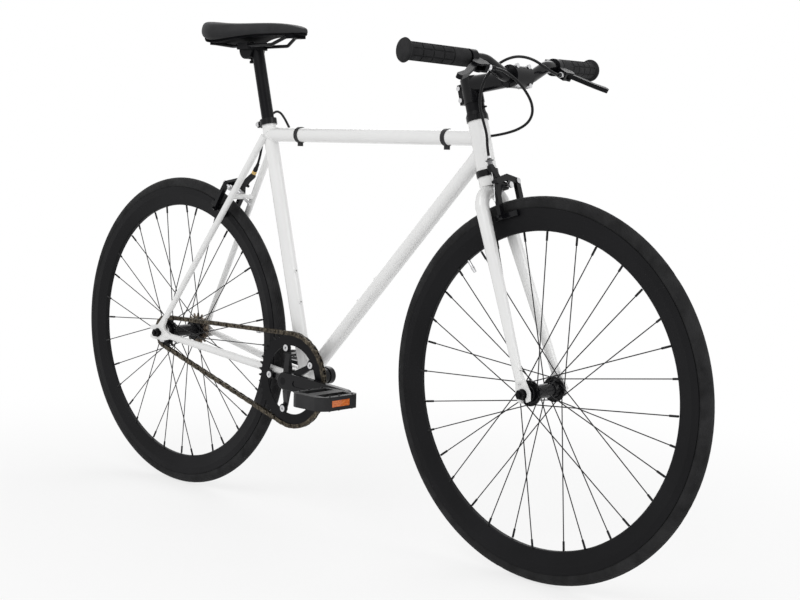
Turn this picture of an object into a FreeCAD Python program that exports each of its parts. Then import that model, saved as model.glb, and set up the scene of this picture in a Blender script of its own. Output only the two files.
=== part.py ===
import FreeCAD, Part
import math
import os

# A flat-bar fixed gear bicycle with rim brakes, made piece by piece as it comes apart on a bench.
# Millimetres. X points forward, Y to the rider's left, Z up. The origin is on the ground, midway
# between the two wheels, and the drive side is -Y.

V = FreeCAD.Vector

# Clearances
WELD_GAP = 0.02
RUNNING_FIT = 0.05
SLIP_FIT = 0.03
CLEARANCE = 0.3
HUB_PLAY = 0.5

# Wheels
WHEELBASE = 995.0
TYRE_RADIUS = 336.5
TYRE_WIDTH = 23.0
INNER_TUBE_ROOM = 0.6
TYRE_WALL = 2.2
TREAD_THICKNESS = 0.8
TUBE_WALL = 1.0
RIM_EDGE_RADIUS = 316.0
RIM_DEPTH = 39.4
RIM_WIDTH = 22.5
RIM_WALL = 1.6
RIM_NOSE_WIDTH = 9.0
BRAKE_TRACK_HEIGHT = 13.0
BEAD_SEAT_DEPTH = 5.0
SPOKE_COUNT = 32
SPOKE_CROSSES = 3
SPOKE_RADIUS = 1.0
SPOKE_HEAD_RADIUS = 1.6
SPOKE_HEAD_THICKNESS = 0.8
SPOKE_LIFT = 1.7
NIPPLE_RADIUS = 2.0
NIPPLE_LENGTH = 16.0
NIPPLE_OFFSET = 1.4
VALVE_RADIUS = 2.9
VALVE_LENGTH = 24.0
VALVE_CAP_RADIUS = 3.8
VALVE_CAP_LENGTH = 9.0
FRONT_VALVE_ANGLE = 129.4
REAR_VALVE_ANGLE = 5.6

# Hubs
FLANGE_RADIUS = 22.5
FLANGE_THICKNESS = 2.8
SPOKE_CIRCLE_RADIUS = 19.5
HUB_BARREL_RADIUS = 12.5
HUB_END_RADIUS = 15.0
BEARING_RADIUS = 11.5
BEARING_WIDTH = 8.0
FRONT_FLANGE_SPACING = 68.0
REAR_FLANGE_SPACING = 64.0
FRONT_HUB_END = 42.0
REAR_HUB_END = 54.0
FRONT_HUB_WIDTH = 100.0
REAR_HUB_WIDTH = 120.0
FRONT_AXLE_RADIUS = 4.5
REAR_AXLE_RADIUS = 5.0
LOCKNUT_RADIUS = 8.5
AXLE_NUT_FLATS = 15.0
AXLE_NUT_HEIGHT = 8.0
AXLE_NUT_WASHER = 1.6
AXLE_STUB = 3.0
AXLE_POINT = 0.5

# Chain drive
CHAIN_PITCH = 12.7
CHAINRING_TEETH = 46
COG_TEETH = 16
FREEWHEEL_TEETH = 16
SPAN_LINKS = 32
CHAIN_LINE = 42.0
ROLLER_RADIUS = 3.88
ROLLER_WIDTH = 3.4
CHAIN_PLATE_THICKNESS = 1.1
CHAIN_PLATE_RADIUS = 4.15
CHAIN_PLATE_GAP = 0.08
CHAIN_PIN_RADIUS = 1.83
CHAIN_PIN_STUB = 0.5
GULLET_CLEARANCE = 0.15
GULLET_ANGLE = 62.0
TOOTH_HEIGHT = 3.9
TOOTH_TIP_WIDTH = 2.2
SPROCKET_THICKNESS = 3.0
CHAINRING_INNER_RADIUS = 69.0
BOLT_CIRCLE_RADIUS = 65.0
CHAINRING_TAB_RADIUS = 9.5
CHAINRING_BOLT_RADIUS = 5.0
CHAINRING_BOLT_HEAD = 6.6
COG_BODY_RADIUS = 25.0
COG_BODY_WIDTH = 9.0
COG_THREAD_RADIUS = 17.4
LOCKRING_RADIUS = 21.5
LOCKRING_WIDTH = 5.0
LOCKRING_THREAD_RADIUS = 16.4
LOCKRING_NOTCHES = 6
FREEWHEEL_BODY_RADIUS = 26.5
FREEWHEEL_WIDTH = 13.0

# Cranks and pedals
CRANK_LENGTH = 170.0
CRANK_DROOP = 2.7
CRANK_INNER = 52.0
CRANK_THICKNESS = 14.0
CRANK_BOSS_RADIUS = 17.5
CRANK_END_RADIUS = 13.0
SPIDER_TAB_THICKNESS = 4.0
SPIDER_ROOT_WIDTH = 17.0
SPIDER_TIP_WIDTH = 12.0
SPIDER_ARMS = 5
SPINDLE_RADIUS = 8.5
CRANK_BOLT_RADIUS = 7.5
CRANK_BOLT_HEIGHT = 3.0
BB_CUP_LIP = 3.0
PEDAL_SPINDLE_RADIUS = 7.0
PEDAL_LENGTH = 92.0
PEDAL_WIDTH = 96.0
PEDAL_HEIGHT = 26.0
PEDAL_RAIL = 11.0
PEDAL_BARREL_RADIUS = 12.0
PEDAL_CRANK_GAP = 2.0
PEDAL_STUD_RADIUS = 1.6
PEDAL_STUD_HEIGHT = 1.8
PEDAL_REFLECTOR_LENGTH = 46.0
PEDAL_REFLECTOR_HEIGHT = 13.0
PEDAL_REFLECTOR_DEPTH = 4.0

# Frame
BB_DROP = 53.5
BB_SHELL_WIDTH = 68.0
BB_SHELL_RADIUS = 20.0
BB_THREAD_RADIUS = 17.4
SEAT_ANGLE = 75.5
HEAD_ANGLE = 74.0
FORK_RAKE = 32.0
CROWN_HEIGHT = 388.5
LOWER_CUP_HEIGHT = 11.3
HEAD_TUBE_LENGTH = 90.0
HEAD_TUBE_RADIUS = 18.0
HEAD_TUBE_WALL = 1.6
UPPER_CUP_HEIGHT = 9.8
CUP_RADIUS = 20.0
CUP_SKIRT_LENGTH = 9.0
CUP_SKIRT_WALL = 1.2
STEERER_RADIUS = 14.3
STEERER_WALL = 2.4
TUBE_RADIUS = 14.3
TUBE_WALL_THICKNESS = 1.1
TUBE_LENGTHS = 8
TOP_TUBE_DROP = 30.4
DOWN_TUBE_RISE = 35.6
SEAT_TUBE_LENGTH = 531.0
SEATPOST_RADIUS = 12.7
SEAT_SLOT_WIDTH = 2.5
SEAT_SLOT_LENGTH = 34.0
CHAIN_STAY_RADIUS = 9.0
CHAIN_STAY_END_RADIUS = 6.5
CHAIN_STAY_OFFSET = 24.0
CHAIN_STAY_BEND = 96.0
STAY_WALL = 1.0
SEAT_STAY_RADIUS = 7.25
SEAT_STAY_END_RADIUS = 6.0
SEAT_STAY_DROP = 32.0
SEAT_STAY_TOP_OFFSET = 15.5
SEAT_STAY_PLUG = 45.0
BRIDGE_RADIUS = 5.6
CHAIN_STAY_BRIDGE_RADIUS = 6.0
CHAIN_STAY_BRIDGE_BACK = 54.0
DROPOUT_THICKNESS = 6.0
DROPOUT_TAB = 44.0
FORK_END_THICKNESS = 5.0
BOSS_RADIUS = 4.6
BOSS_HEIGHT = 2.0
BOSS_DEPTH = 6.5
BOSS_THREAD_RADIUS = 2.1
BOSS_SPACING = 64.0
DOWN_BOSS_DISTANCE = 252.0
SEAT_BOSS_DISTANCE = 185.0
COLLAR_WALL = 3.2
COLLAR_HEIGHT = 12.0
COLLAR_EAR = 9.0
COLLAR_BOLT_RADIUS = 2.5

# Fork
BLADE_TOP_RADIUS = 12.5
BLADE_END_RADIUS = 8.0
BLADE_TOP_OFFSET = 31.0
CROWN_DROP = 57.5
BLADE_TOP_HEIGHT = CROWN_HEIGHT - CROWN_DROP
BLADE_WALL = 1.5
CROWN_STUB_RADIUS = 18.0

# Stem, handlebar and grips
SPACER_STACK = 22.6
SPACER_RADIUS = 17.0
COVER_HEIGHT = 7.0
STEM_CLAMP_HEIGHT = 44.7
STEM_CLAMP_RADIUS = 18.5
STEM_RISE = 7.0
STEM_LENGTH = 104.0
STEM_START = 34.0
STEM_RADIUS = 16.0
BAR_CLAMP_RADIUS = 12.7
BAR_CLAMP_OUTER = 20.0
BAR_CLAMP_WIDTH = 46.0
FACEPLATE_GAP = 1.6
TOP_CAP_THICKNESS = 3.0
STEM_BOLT_RADIUS = 2.5
BAR_RADIUS = 11.1
BAR_WALL = 1.8
BAR_HALF_WIDTH = 254.0
BAR_RISE = 27.8
BAR_BACK_SWEEP = 30.7
BAR_FLAT_HALF = 34.0
BAR_KNEE_HALF = 84.0
BAR_KNEE_RISE = 23.0
BAR_KNEE_BACK = 3.0
BAR_BEND_RADIUS = 42.0
GRIP_INNER_HALF = 124.0
GRIP_LENGTH = BAR_HALF_WIDTH - GRIP_INNER_HALF
GRIP_RADIUS = 15.5
GRIP_FLANGE_RADIUS = 20.5
GRIP_FLANGE_WIDTH = 5.0
GRIP_PAD_LENGTH = 22.0
GRIP_GROOVE_WIDTH = 2.4
GRIP_GROOVE_DEPTH = 1.2
GRIP_PLAIN_LENGTH = 35.0
GRIP_PAD_ROWS = int((GRIP_LENGTH - GRIP_PLAIN_LENGTH) / GRIP_PAD_LENGTH)
GRIP_PAD_COLUMNS = 8

# Brake levers and cables
LEVER_GAP = 3.0
LEVER_CLAMP_WIDTH = 13.0
LEVER_CLAMP_WALL = 4.5
LEVER_PITCH = 30.0
LEVER_PIVOT_OUT = 10.0
LEVER_PIVOT_FORWARD = 26.0
LEVER_PIVOT_RADIUS = 2.5
LEVER_BODY_HEIGHT = 16.0
LEVER_THICKNESS = 8.0
LEVER_LENGTH = 82.0
LEVER_REST_ANGLE = 36.0
LEVER_WIDTH = 11.0
CABLE_RADIUS = 2.5
BARREL_RADIUS = 4.0
BARREL_LENGTH = 12.0
CLIP_THICKNESS = 1.6
CLIP_WIDTH = 9.0
CLIP_PLACES = (261.0, -128.0)
CABLE_RUN_AHEAD = 30.0
CABLE_RUN_PAST = 42.0
WIRE_RADIUS = 0.7

# Rim brakes
PAD_GAP = 1.8
PAD_LENGTH = 50.0
PAD_HEIGHT = 10.0
PAD_THICKNESS = 6.5
PAD_DEPTH = 26.0
BRAKE_REACH = 53.0
BRAKE_BOLT_RADIUS = 3.0
BRAKE_SPACER = 12.0
BRAKE_BRACKET = 5.0
BRAKE_ARM_THICKNESS = 7.6
BRAKE_ARM_WIDTH = 11.0
SIDE_PIVOT = (24.0, 8.0)
CABLE_SIDE = 30.0
ADJUSTER_HEIGHT = 34.0
ANCHOR_HEIGHT = 8.0
ADJUSTER_LENGTH = 16.0

# Seatpost and saddle
POST_INSERT = 110.0
POST_TOP = 652.0
POST_WALL = 2.2
RAIL_RADIUS = 3.5
RAIL_SPACING = 44.0
RAIL_RISE = 33.77
CLAMP_SETBACK = 23.96
SHELL_GAP = 0.3
POST_HEAD_RADIUS = 19.0
POST_HEAD_WIDTH = 36.0
JAW_LENGTH = 40.0
JAW_WIDTH = 54.0
JAW_HEIGHT = 7.0
CLAMP_BOLT_RADIUS = 3.0
SHELL_THICKNESS = 3.0
SHELL_INSET = 0.84


# Where the main points lie
def pitch_radius(teeth):
    return CHAIN_PITCH / (2 * math.sin(math.pi / teeth))


RING_PITCH_RADIUS = pitch_radius(CHAINRING_TEETH)
COG_PITCH_RADIUS = pitch_radius(COG_TEETH)
SPAN_LENGTH = SPAN_LINKS * CHAIN_PITCH
WRAP_EXTRA = math.atan((RING_PITCH_RADIUS - COG_PITCH_RADIUS) / SPAN_LENGTH) / math.pi
COG_STEPS = round(COG_TEETH * (0.5 - WRAP_EXTRA))
RING_STEPS = round(CHAINRING_TEETH * (0.5 + WRAP_EXTRA))
RING_STEPS += (RING_STEPS + COG_STEPS) % 2
RING_WRAP = math.pi * RING_STEPS / CHAINRING_TEETH
COG_WRAP = math.pi * COG_STEPS / COG_TEETH
SPAN_RISE = RING_PITCH_RADIUS * math.sin(RING_WRAP) - COG_PITCH_RADIUS * math.sin(COG_WRAP)
SPAN_RUN = math.sqrt(SPAN_LENGTH ** 2 - SPAN_RISE ** 2)
DRIVE_CENTRES = SPAN_RUN - RING_PITCH_RADIUS * math.cos(RING_WRAP) - COG_PITCH_RADIUS * math.cos(COG_WRAP)

REAR_AXLE = V(-WHEELBASE / 2, 0, TYRE_RADIUS)
FRONT_AXLE = V(WHEELBASE / 2, 0, TYRE_RADIUS)
BB = REAR_AXLE + V(math.sqrt(DRIVE_CENTRES ** 2 - BB_DROP ** 2), 0, -BB_DROP)
DRIVE_FORWARD = (BB - REAR_AXLE).normalize()
DRIVE_UP = V(-DRIVE_FORWARD.z, 0, DRIVE_FORWARD.x)


def tilted(origin, angle):
    """A frame at origin whose Z leans back to the given angle above the horizontal."""
    return FreeCAD.Placement(origin, FreeCAD.Rotation(V(0, 1, 0), angle - 90))


# The steering frame has the steering axis as Z and the front axle FORK_RAKE ahead of its origin.
STEER = tilted(FRONT_AXLE, HEAD_ANGLE).multiply(FreeCAD.Placement(V(-FORK_RAKE, 0, 0), FreeCAD.Rotation()))
SEAT = tilted(BB, SEAT_ANGLE)
HEAD_LOW = CROWN_HEIGHT + LOWER_CUP_HEIGHT
HEAD_HIGH = HEAD_LOW + HEAD_TUBE_LENGTH
HEADSET_TOP = HEAD_HIGH + UPPER_CUP_HEIGHT
STEM_LOW = HEADSET_TOP + SPACER_STACK
STEM_HIGH = STEM_LOW + STEM_CLAMP_HEIGHT


def steer_point(forward, side, height):
    return STEER.multVec(V(forward, side, height))


def seat_point(forward, side, height):
    return SEAT.multVec(V(forward, side, height))


TOP_TUBE_FRONT = steer_point(0, 0, HEAD_HIGH - TOP_TUBE_DROP)
DOWN_TUBE_FRONT = steer_point(0, 0, HEAD_LOW + DOWN_TUBE_RISE)
TOP_TUBE_REAR = SEAT.multVec(V(0, 0, (TOP_TUBE_FRONT.z - BB.z) / math.sin(math.radians(SEAT_ANGLE))))
SEAT_TOP = seat_point(0, 0, SEAT_TUBE_LENGTH)
STEM_ROOT = steer_point(0, 0, STEM_LOW + STEM_START)
STEM_DIRECTION = V(math.cos(math.radians(STEM_RISE)), 0, math.sin(math.radians(STEM_RISE)))
BAR_CENTRE = STEM_ROOT + STEM_DIRECTION * STEM_LENGTH
RIM_NOSE_RADIUS = RIM_EDGE_RADIUS - RIM_DEPTH
BRAKE_TRACK_RADIUS = RIM_EDGE_RADIUS - BRAKE_TRACK_HEIGHT / 2
CRANK_OUTER = CRANK_INNER + CRANK_THICKNESS
RING_INNER_FACE = CHAIN_LINE - SPROCKET_THICKNESS / 2
RING_OUTER_FACE = CHAIN_LINE + SPROCKET_THICKNESS / 2


# Shape helpers
def wire(points, to_space):
    """A closed wire. A pair of points is an arc through the first to the second."""
    edges = []
    here = to_space(*points[0])
    for item in points[1:] + points[:1]:
        is_arc = isinstance(item[0], tuple)
        end = to_space(*(item[1] if is_arc else item))
        if is_arc:
            edges.append(Part.Arc(here, to_space(*item[0]), end).toShape())
        elif end.distanceToPoint(here) > 1e-6:
            edges.append(Part.makeLine(here, end))
        here = end
    return Part.Wire(edges)


def turned(points):
    """A solid of revolution about Y from (radius, along) points."""
    face = Part.Face(wire(points, lambda radius, along: V(radius, along, 0)))
    return face.revolve(V(0, 0, 0), V(0, 1, 0), 360)


def plate(points, low, high):
    """A plate across Y from (x, z) points."""
    face = Part.Face(wire(points, lambda x, z: V(x, low, z)))
    return face.extrude(V(0, high - low, 0))


def layer(points, low, high):
    """A plate across Z from (x, y) points."""
    face = Part.Face(wire(points, lambda x, y: V(x, y, low)))
    return face.extrude(V(0, 0, high - low))


def rod(start, end, radius):
    return Part.makeCylinder(radius, start.distanceToPoint(end), start, end - start)


def cone(start, end, start_radius, end_radius):
    if abs(start_radius - end_radius) < 1e-6:
        return rod(start, end, start_radius)
    return Part.makeCone(start_radius, end_radius, start.distanceToPoint(end), start, end - start)


def tube(start, end, radius, wall):
    return rod(start, end, radius).cut(rod(start, end, radius - wall))


def long_tube(start, end, radius, wall):
    """A tube in equal lengths butted end to end, which keeps the triangles of a long wall short."""
    step = (end - start) / TUBE_LENGTHS
    pieces = [tube(start + step * n, start + step * (n + 1), radius, wall) for n in range(TUBE_LENGTHS)]
    return pieces[0].fuse(pieces[1:])


def ring(inner, outer, low, high):
    """A ring about Y."""
    return turned([(inner, low), (outer, low), (outer, high), (inner, high)])


def collar(inner, outer, low, high):
    """A ring about Z."""
    outside = Part.makeCylinder(outer, high - low, V(0, 0, low))
    return outside.cut(Part.makeCylinder(inner, high - low, V(0, 0, low)))


def box(low, high):
    size = high - low
    return Part.makeBox(size.x, size.y, size.z, low)


def fused(shapes):
    first, rest = shapes[0], shapes[1:]
    return first.fuse(rest).removeSplitter() if rest else first


def placed(shape, placement):
    copy = shape.copy()
    copy.Placement = placement.multiply(copy.Placement)
    return copy


def moved(shape, offset):
    return placed(shape, FreeCAD.Placement(offset, FreeCAD.Rotation()))


def mirrored(shape):
    """The same piece on the other side of the bicycle."""
    return shape.mirror(V(0, 0, 0), V(0, 1, 0))


def spun(shape, angle):
    """Turned about Y, counted from +X towards +Z."""
    return placed(shape, FreeCAD.Placement(V(0, 0, 0), FreeCAD.Rotation(V(0, -1, 0), angle)))


def facing(origin, x_axis, y_axis, z_axis):
    return FreeCAD.Placement(origin, FreeCAD.Rotation(x_axis, y_axis, z_axis, "ZXY"))


def stadium(start, end, radius, end_radius=None):
    """The outline of a bar with round ends, as points for a plate."""
    end_radius = end_radius or radius
    along = math.atan2(end[1] - start[1], end[0] - start[0])
    span = math.hypot(end[0] - start[0], end[1] - start[1])
    lean = math.acos((radius - end_radius) / span)

    def rim(centre, size, angle):
        return (centre[0] + size * math.cos(angle), centre[1] + size * math.sin(angle))

    return [
        rim(start, radius, along + lean),
        (rim(start, radius, along + math.pi), rim(start, radius, along - lean)),
        rim(end, end_radius, along - lean),
        (rim(end, end_radius, along), rim(end, end_radius, along + lean)),
    ]


def bars(points, radius, low, high):
    """A flat arm in (x, y), made of round-ended bars between points."""
    return fused([layer(stadium(a, b, radius), low, high) for a, b in zip(points, points[1:])])


def path(points, bend=None):
    """Straight runs joined by tangent arcs, as large as the runs allow if no bend is given."""
    edges = []
    radii = []
    here = points[0]
    for before, corner, after in zip(points, points[1:], points[2:]):
        back = before - corner
        on = after - corner
        shorter = min(back.Length, on.Length)
        half_turn = (math.pi - back.getAngle(on)) / 2
        radius = bend or 0.45 * shorter / math.tan(half_turn)
        reach = radius * math.tan(half_turn)
        back.normalize()
        on.normalize()
        middle = (back + on).normalize() * (radius / math.cos(half_turn) - radius)
        edges.append(Part.makeLine(here, corner + back * reach))
        edges.append(Part.Arc(corner + back * reach, corner + middle, corner + on * reach).toShape())
        here = corner + on * reach
        radii.append(round(radius))
    edges.append(Part.makeLine(here, points[-1]))
    return Part.Wire(edges), radii


def swept(points, radius, bend=None):
    """A round bar along a path."""
    line, radii = path(points, bend)
    start = Part.Wire(Part.makeCircle(radius, points[0], points[1] - points[0]))
    return line.makePipeShell([start], True, False), line, radii


def taper(points, radii):
    """A round bar through points, with its own radius at each."""
    pieces = [cone(a, b, ra, rb) for a, b, ra, rb in zip(points, points[1:], radii, radii[1:])]
    pieces += [Part.makeSphere(r, p) for p, r in zip(points[1:-1], radii[1:-1])]
    return fused(pieces)


NODES = {}


def add(name, *solids):
    """Keeps a node, as one solid or as a group of separate ones."""
    NODES[name] = solids[0] if len(solids) == 1 else Part.Compound(list(solids))


# Frame tubes
def frame_tubes():
    head_low = steer_point(0, 0, HEAD_LOW)
    head_high = steer_point(0, 0, HEAD_HIGH)
    head_keep = rod(head_low, head_high, HEAD_TUBE_RADIUS + WELD_GAP)
    seat_keep = rod(BB, SEAT_TOP, TUBE_RADIUS + WELD_GAP)
    shell_end = V(0, BB_SHELL_WIDTH / 2, 0)
    shell_keep = rod(BB - shell_end, BB + shell_end, BB_SHELL_RADIUS + WELD_GAP)

    head = tube(head_low, head_high, HEAD_TUBE_RADIUS, HEAD_TUBE_WALL)
    top = tube(TOP_TUBE_REAR, TOP_TUBE_FRONT, TUBE_RADIUS, TUBE_WALL_THICKNESS)
    down = long_tube(BB, DOWN_TUBE_FRONT, TUBE_RADIUS, TUBE_WALL_THICKNESS)
    bore = SEATPOST_RADIUS + RUNNING_FIT
    seat = rod(BB, SEAT_TOP, TUBE_RADIUS).cut(rod(BB, SEAT_TOP, bore))
    slot = box(V(-2 * TUBE_RADIUS, -SEAT_SLOT_WIDTH / 2, SEAT_TUBE_LENGTH - SEAT_SLOT_LENGTH),
               V(0, SEAT_SLOT_WIDTH / 2, SEAT_TUBE_LENGTH + 1))

    down_way = (DOWN_TUBE_FRONT - BB).normalize()
    down_up = V(-down_way.z, 0, down_way.x)
    seat_up = SEAT.Rotation.multVec(V(1, 0, 0))
    seat_way = SEAT.Rotation.multVec(V(0, 0, 1))
    for sign in (-1, 1):
        place = BB + down_way * (DOWN_BOSS_DISTANCE + sign * BOSS_SPACING / 2)
        down = bossed(down, place, down_up)
        place = BB + seat_way * (SEAT_BOSS_DISTANCE + sign * BOSS_SPACING / 2)
        seat = bossed(seat, place, seat_up)
    seat = seat.cut([placed(slot, SEAT), shell_keep])

    add("head_tube", head)
    add("top_tube", top.cut([head_keep, seat_keep]))
    add("down_tube", down.cut([head_keep, shell_keep, seat_keep]))
    add("seat_tube", seat)
    add("bottom_bracket_shell", tube(BB - shell_end, BB + shell_end, BB_SHELL_RADIUS,
                                     BB_SHELL_RADIUS - BB_THREAD_RADIUS))
    return seat_keep, shell_keep


def bossed(base, place, up):
    """A tube with a threaded bottle boss let into its wall."""
    low = place + up * (TUBE_RADIUS - BOSS_DEPTH)
    high = place + up * (TUBE_RADIUS + BOSS_HEIGHT)
    return base.fuse(rod(low, high, BOSS_RADIUS)).cut(rod(low, high, BOSS_THREAD_RADIUS))


def stays(seat_keep, shell_keep):
    inner = REAR_HUB_WIDTH / 2
    middle = inner + DROPOUT_THICKNESS / 2
    chain_end = REAR_AXLE + DRIVE_FORWARD * 26
    bend = BB - DRIVE_FORWARD * CHAIN_STAY_BEND
    chain_line = [BB + V(0, CHAIN_STAY_OFFSET, 0), bend + V(0, CHAIN_STAY_OFFSET, 0),
                  chain_end + V(0, middle, 0)]
    chain_radii = [CHAIN_STAY_RADIUS, CHAIN_STAY_RADIUS, CHAIN_STAY_END_RADIUS]
    stay_top = seat_point(-2, 0, SEAT_TUBE_LENGTH - SEAT_STAY_DROP)
    seat_way = (stay_top - REAR_AXLE).normalize()
    seat_line = [REAR_AXLE + seat_way * 26 + V(0, middle, 0), stay_top + V(0, SEAT_STAY_TOP_OFFSET, 0)]
    seat_radii = [SEAT_STAY_END_RADIUS, SEAT_STAY_RADIUS]

    drop = placed(plate(fork_end_outline(seat_way), inner, inner + DROPOUT_THICKNESS),
                  FreeCAD.Placement(REAR_AXLE, FreeCAD.Rotation()))
    drop_keep = box(REAR_AXLE + V(-60, inner - WELD_GAP, -60),
                    REAR_AXLE + V(44, inner + DROPOUT_THICKNESS + WELD_GAP, 46))

    def thin(radii):
        return [r - STAY_WALL for r in radii]

    chain_solid = taper(chain_line, chain_radii)
    seat_solid = taper(seat_line, seat_radii)
    chain_stay = chain_solid.cut([taper(chain_line, thin(chain_radii)), shell_keep, drop_keep])
    plug = (seat_line[1] - seat_line[0]).normalize() * SEAT_STAY_PLUG
    seat_hollow = taper([seat_line[0] + plug, seat_line[1] - plug], thin(seat_radii))
    lean = math.degrees(math.atan2(seat_way.z, -seat_way.x))
    tab_keep = placed(box(V(-30, 0, -30), V(30, 2 * middle, DROPOUT_TAB + WELD_GAP)),
                      tilted(REAR_AXLE, lean))
    seat_stay = seat_solid.cut(seat_hollow).cut(seat_keep).cut(tab_keep)

    centre = brake_centre(seat_way)
    reach = V(0, SEAT_STAY_TOP_OFFSET + middle, 0)
    bridge = rod(centre - reach, centre + reach, BRIDGE_RADIUS)
    bridge = clipped_between(bridge, seat_solid, centre)
    across = V(-seat_way.z, 0, seat_way.x)
    bridge = bridge.cut(rod(centre - across * 20, centre + across * 20, BRAKE_BOLT_RADIUS + WELD_GAP))
    low_centre = BB - DRIVE_FORWARD * CHAIN_STAY_BRIDGE_BACK
    side = V(0, CHAIN_STAY_OFFSET, 0)
    low_bridge = clipped_between(rod(low_centre - side, low_centre + side, CHAIN_STAY_BRIDGE_RADIUS),
                                 chain_solid, low_centre)

    add("chain_stays", mirrored(chain_stay), chain_stay, low_bridge)
    add("seat_stays", mirrored(seat_stay), seat_stay, bridge)
    add("rear_fork_ends", mirrored(drop), drop)
    return seat_way


def clipped_between(bar, stay, centre):
    """The middle of a bridge, ended on the two stays."""
    pieces = bar.cut([stay, mirrored(stay)]).Solids
    return min(pieces, key=lambda piece: piece.CenterOfMass.distanceToPoint(centre))


def fork_end_outline(seat_way):
    """A rear-opening track fork end about its axle, with a tab for each stay."""
    half = REAR_AXLE_RADIUS + 0.2
    back = -26.0
    rise = V(seat_way.x, 0, seat_way.z)
    left = V(-rise.z, 0, rise.x)
    on = DRIVE_FORWARD
    up = DRIVE_UP

    def tab(way, side, along, width):
        point = way * along + side * width
        return (point.x, point.z)

    return [
        (back, half), (back, half + 9), tab(rise, left, 14, 10), tab(rise, left, DROPOUT_TAB, 4.6),
        tab(rise, left, DROPOUT_TAB, -4.6),
        tab(rise, left, 22, -8), tab(on, up, 20, 12), tab(on, up, 42, 5), tab(on, up, 42, -5),
        tab(on, up, 24, -12),
        (back + 10, -half - 10), (back, -half - 7), (back, -half), (8, -half), ((8 + half, 0), (8, half)),
    ]


def brake_centre(seat_way):
    """The middle of the brake bridge, above the rear rim by the brake's reach."""
    depth = BRIDGE_RADIUS + PAD_DEPTH
    return REAR_AXLE + seat_way * (math.sqrt(BRAKE_TRACK_RADIUS ** 2 - depth ** 2) + BRAKE_REACH)


def headset():
    skirt = HEAD_TUBE_RADIUS - HEAD_TUBE_WALL - WELD_GAP
    race = skirt - CUP_SKIRT_WALL

    def cup(low, high, skirt_low, skirt_high):
        body = Part.makeCylinder(CUP_RADIUS, high - low, V(0, 0, low))
        body = body.fuse(Part.makeCylinder(skirt, skirt_high - skirt_low, V(0, 0, skirt_low)))
        bore = Part.makeCylinder(race, high - low + CUP_SKIRT_LENGTH + 2, V(0, 0, min(low, skirt_low) - 1))
        return placed(body.removeSplitter().cut(bore), STEER)

    def bearing(low, high):
        return placed(collar(STEERER_RADIUS + RUNNING_FIT, race - WELD_GAP, low, high), STEER)

    lower = cup(CROWN_HEIGHT, HEAD_LOW, HEAD_LOW, HEAD_LOW + CUP_SKIRT_LENGTH)
    upper = cup(HEAD_HIGH, HEADSET_TOP, HEAD_HIGH - CUP_SKIRT_LENGTH, HEAD_HIGH)
    add("headset_cups", lower, upper, bearing(CROWN_HEIGHT + 1, HEAD_LOW),
        bearing(HEAD_HIGH, HEADSET_TOP - 1))


def seat_collar():
    inner = TUBE_RADIUS + SLIP_FIT
    outer = inner + COLLAR_WALL
    low = SEAT_TUBE_LENGTH - COLLAR_HEIGHT + 3
    high = low + COLLAR_HEIGHT
    band = collar(inner, outer, low, high)
    lip = collar(SEATPOST_RADIUS + CLEARANCE, outer, SEAT_TUBE_LENGTH + SLIP_FIT, high)
    ear = box(V(-outer - COLLAR_EAR, -8, low), V(-inner - 1, 8, high))
    body = fused([band, lip, ear])
    middle = (low + high) / 2
    bolt_x = -outer - COLLAR_EAR / 2
    slit = box(V(-outer - COLLAR_EAR - 1, -1.2, low - 1), V(-inner + 4, 1.2, high + 1))
    bolt_way = rod(V(bolt_x, -20, middle), V(bolt_x, 20, middle), COLLAR_BOLT_RADIUS + SLIP_FIT)
    bolt = fused([rod(V(bolt_x, -11, middle), V(bolt_x, 10, middle), COLLAR_BOLT_RADIUS),
                  rod(V(bolt_x, -12.5, middle), V(bolt_x, -8.02, middle), 4.2)])
    add("seat_collar", placed(body.cut([slit, bolt_way]), SEAT))
    return placed(bolt, SEAT)


# Bottom bracket, cranks and pedals
def bottom_bracket():
    half = BB_SHELL_WIDTH / 2
    journal = SPINDLE_RADIUS + 1.5
    cup = BB_THREAD_RADIUS - WELD_GAP
    body = turned([(journal + RUNNING_FIT, -half - BB_CUP_LIP), (cup + 1, -half - BB_CUP_LIP),
                   (cup + 1, -half - WELD_GAP),
                   (cup, -half - WELD_GAP), (cup, half + WELD_GAP), (cup + 1, half + WELD_GAP),
                   (cup + 1, half + BB_CUP_LIP), (journal + RUNNING_FIT, half + BB_CUP_LIP)])
    add("bottom_bracket_cartridge", moved(body, BB))
    end = CRANK_OUTER - 3
    spindle = turned([(0, -end), (SPINDLE_RADIUS - 2, -end), (SPINDLE_RADIUS, -half - 4),
                      (journal, -half - 4),
                      (journal, half + 4), (SPINDLE_RADIUS, half + 4), (SPINDLE_RADIUS - 2, end), (0, end)])
    bolt = Part.makeCylinder(CRANK_BOLT_RADIUS, CRANK_BOLT_HEIGHT, V(0, end, 0), V(0, 1, 0))
    add("bottom_bracket_spindle", moved(spindle, BB), moved(bolt, BB), moved(mirrored(bolt), BB))


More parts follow.
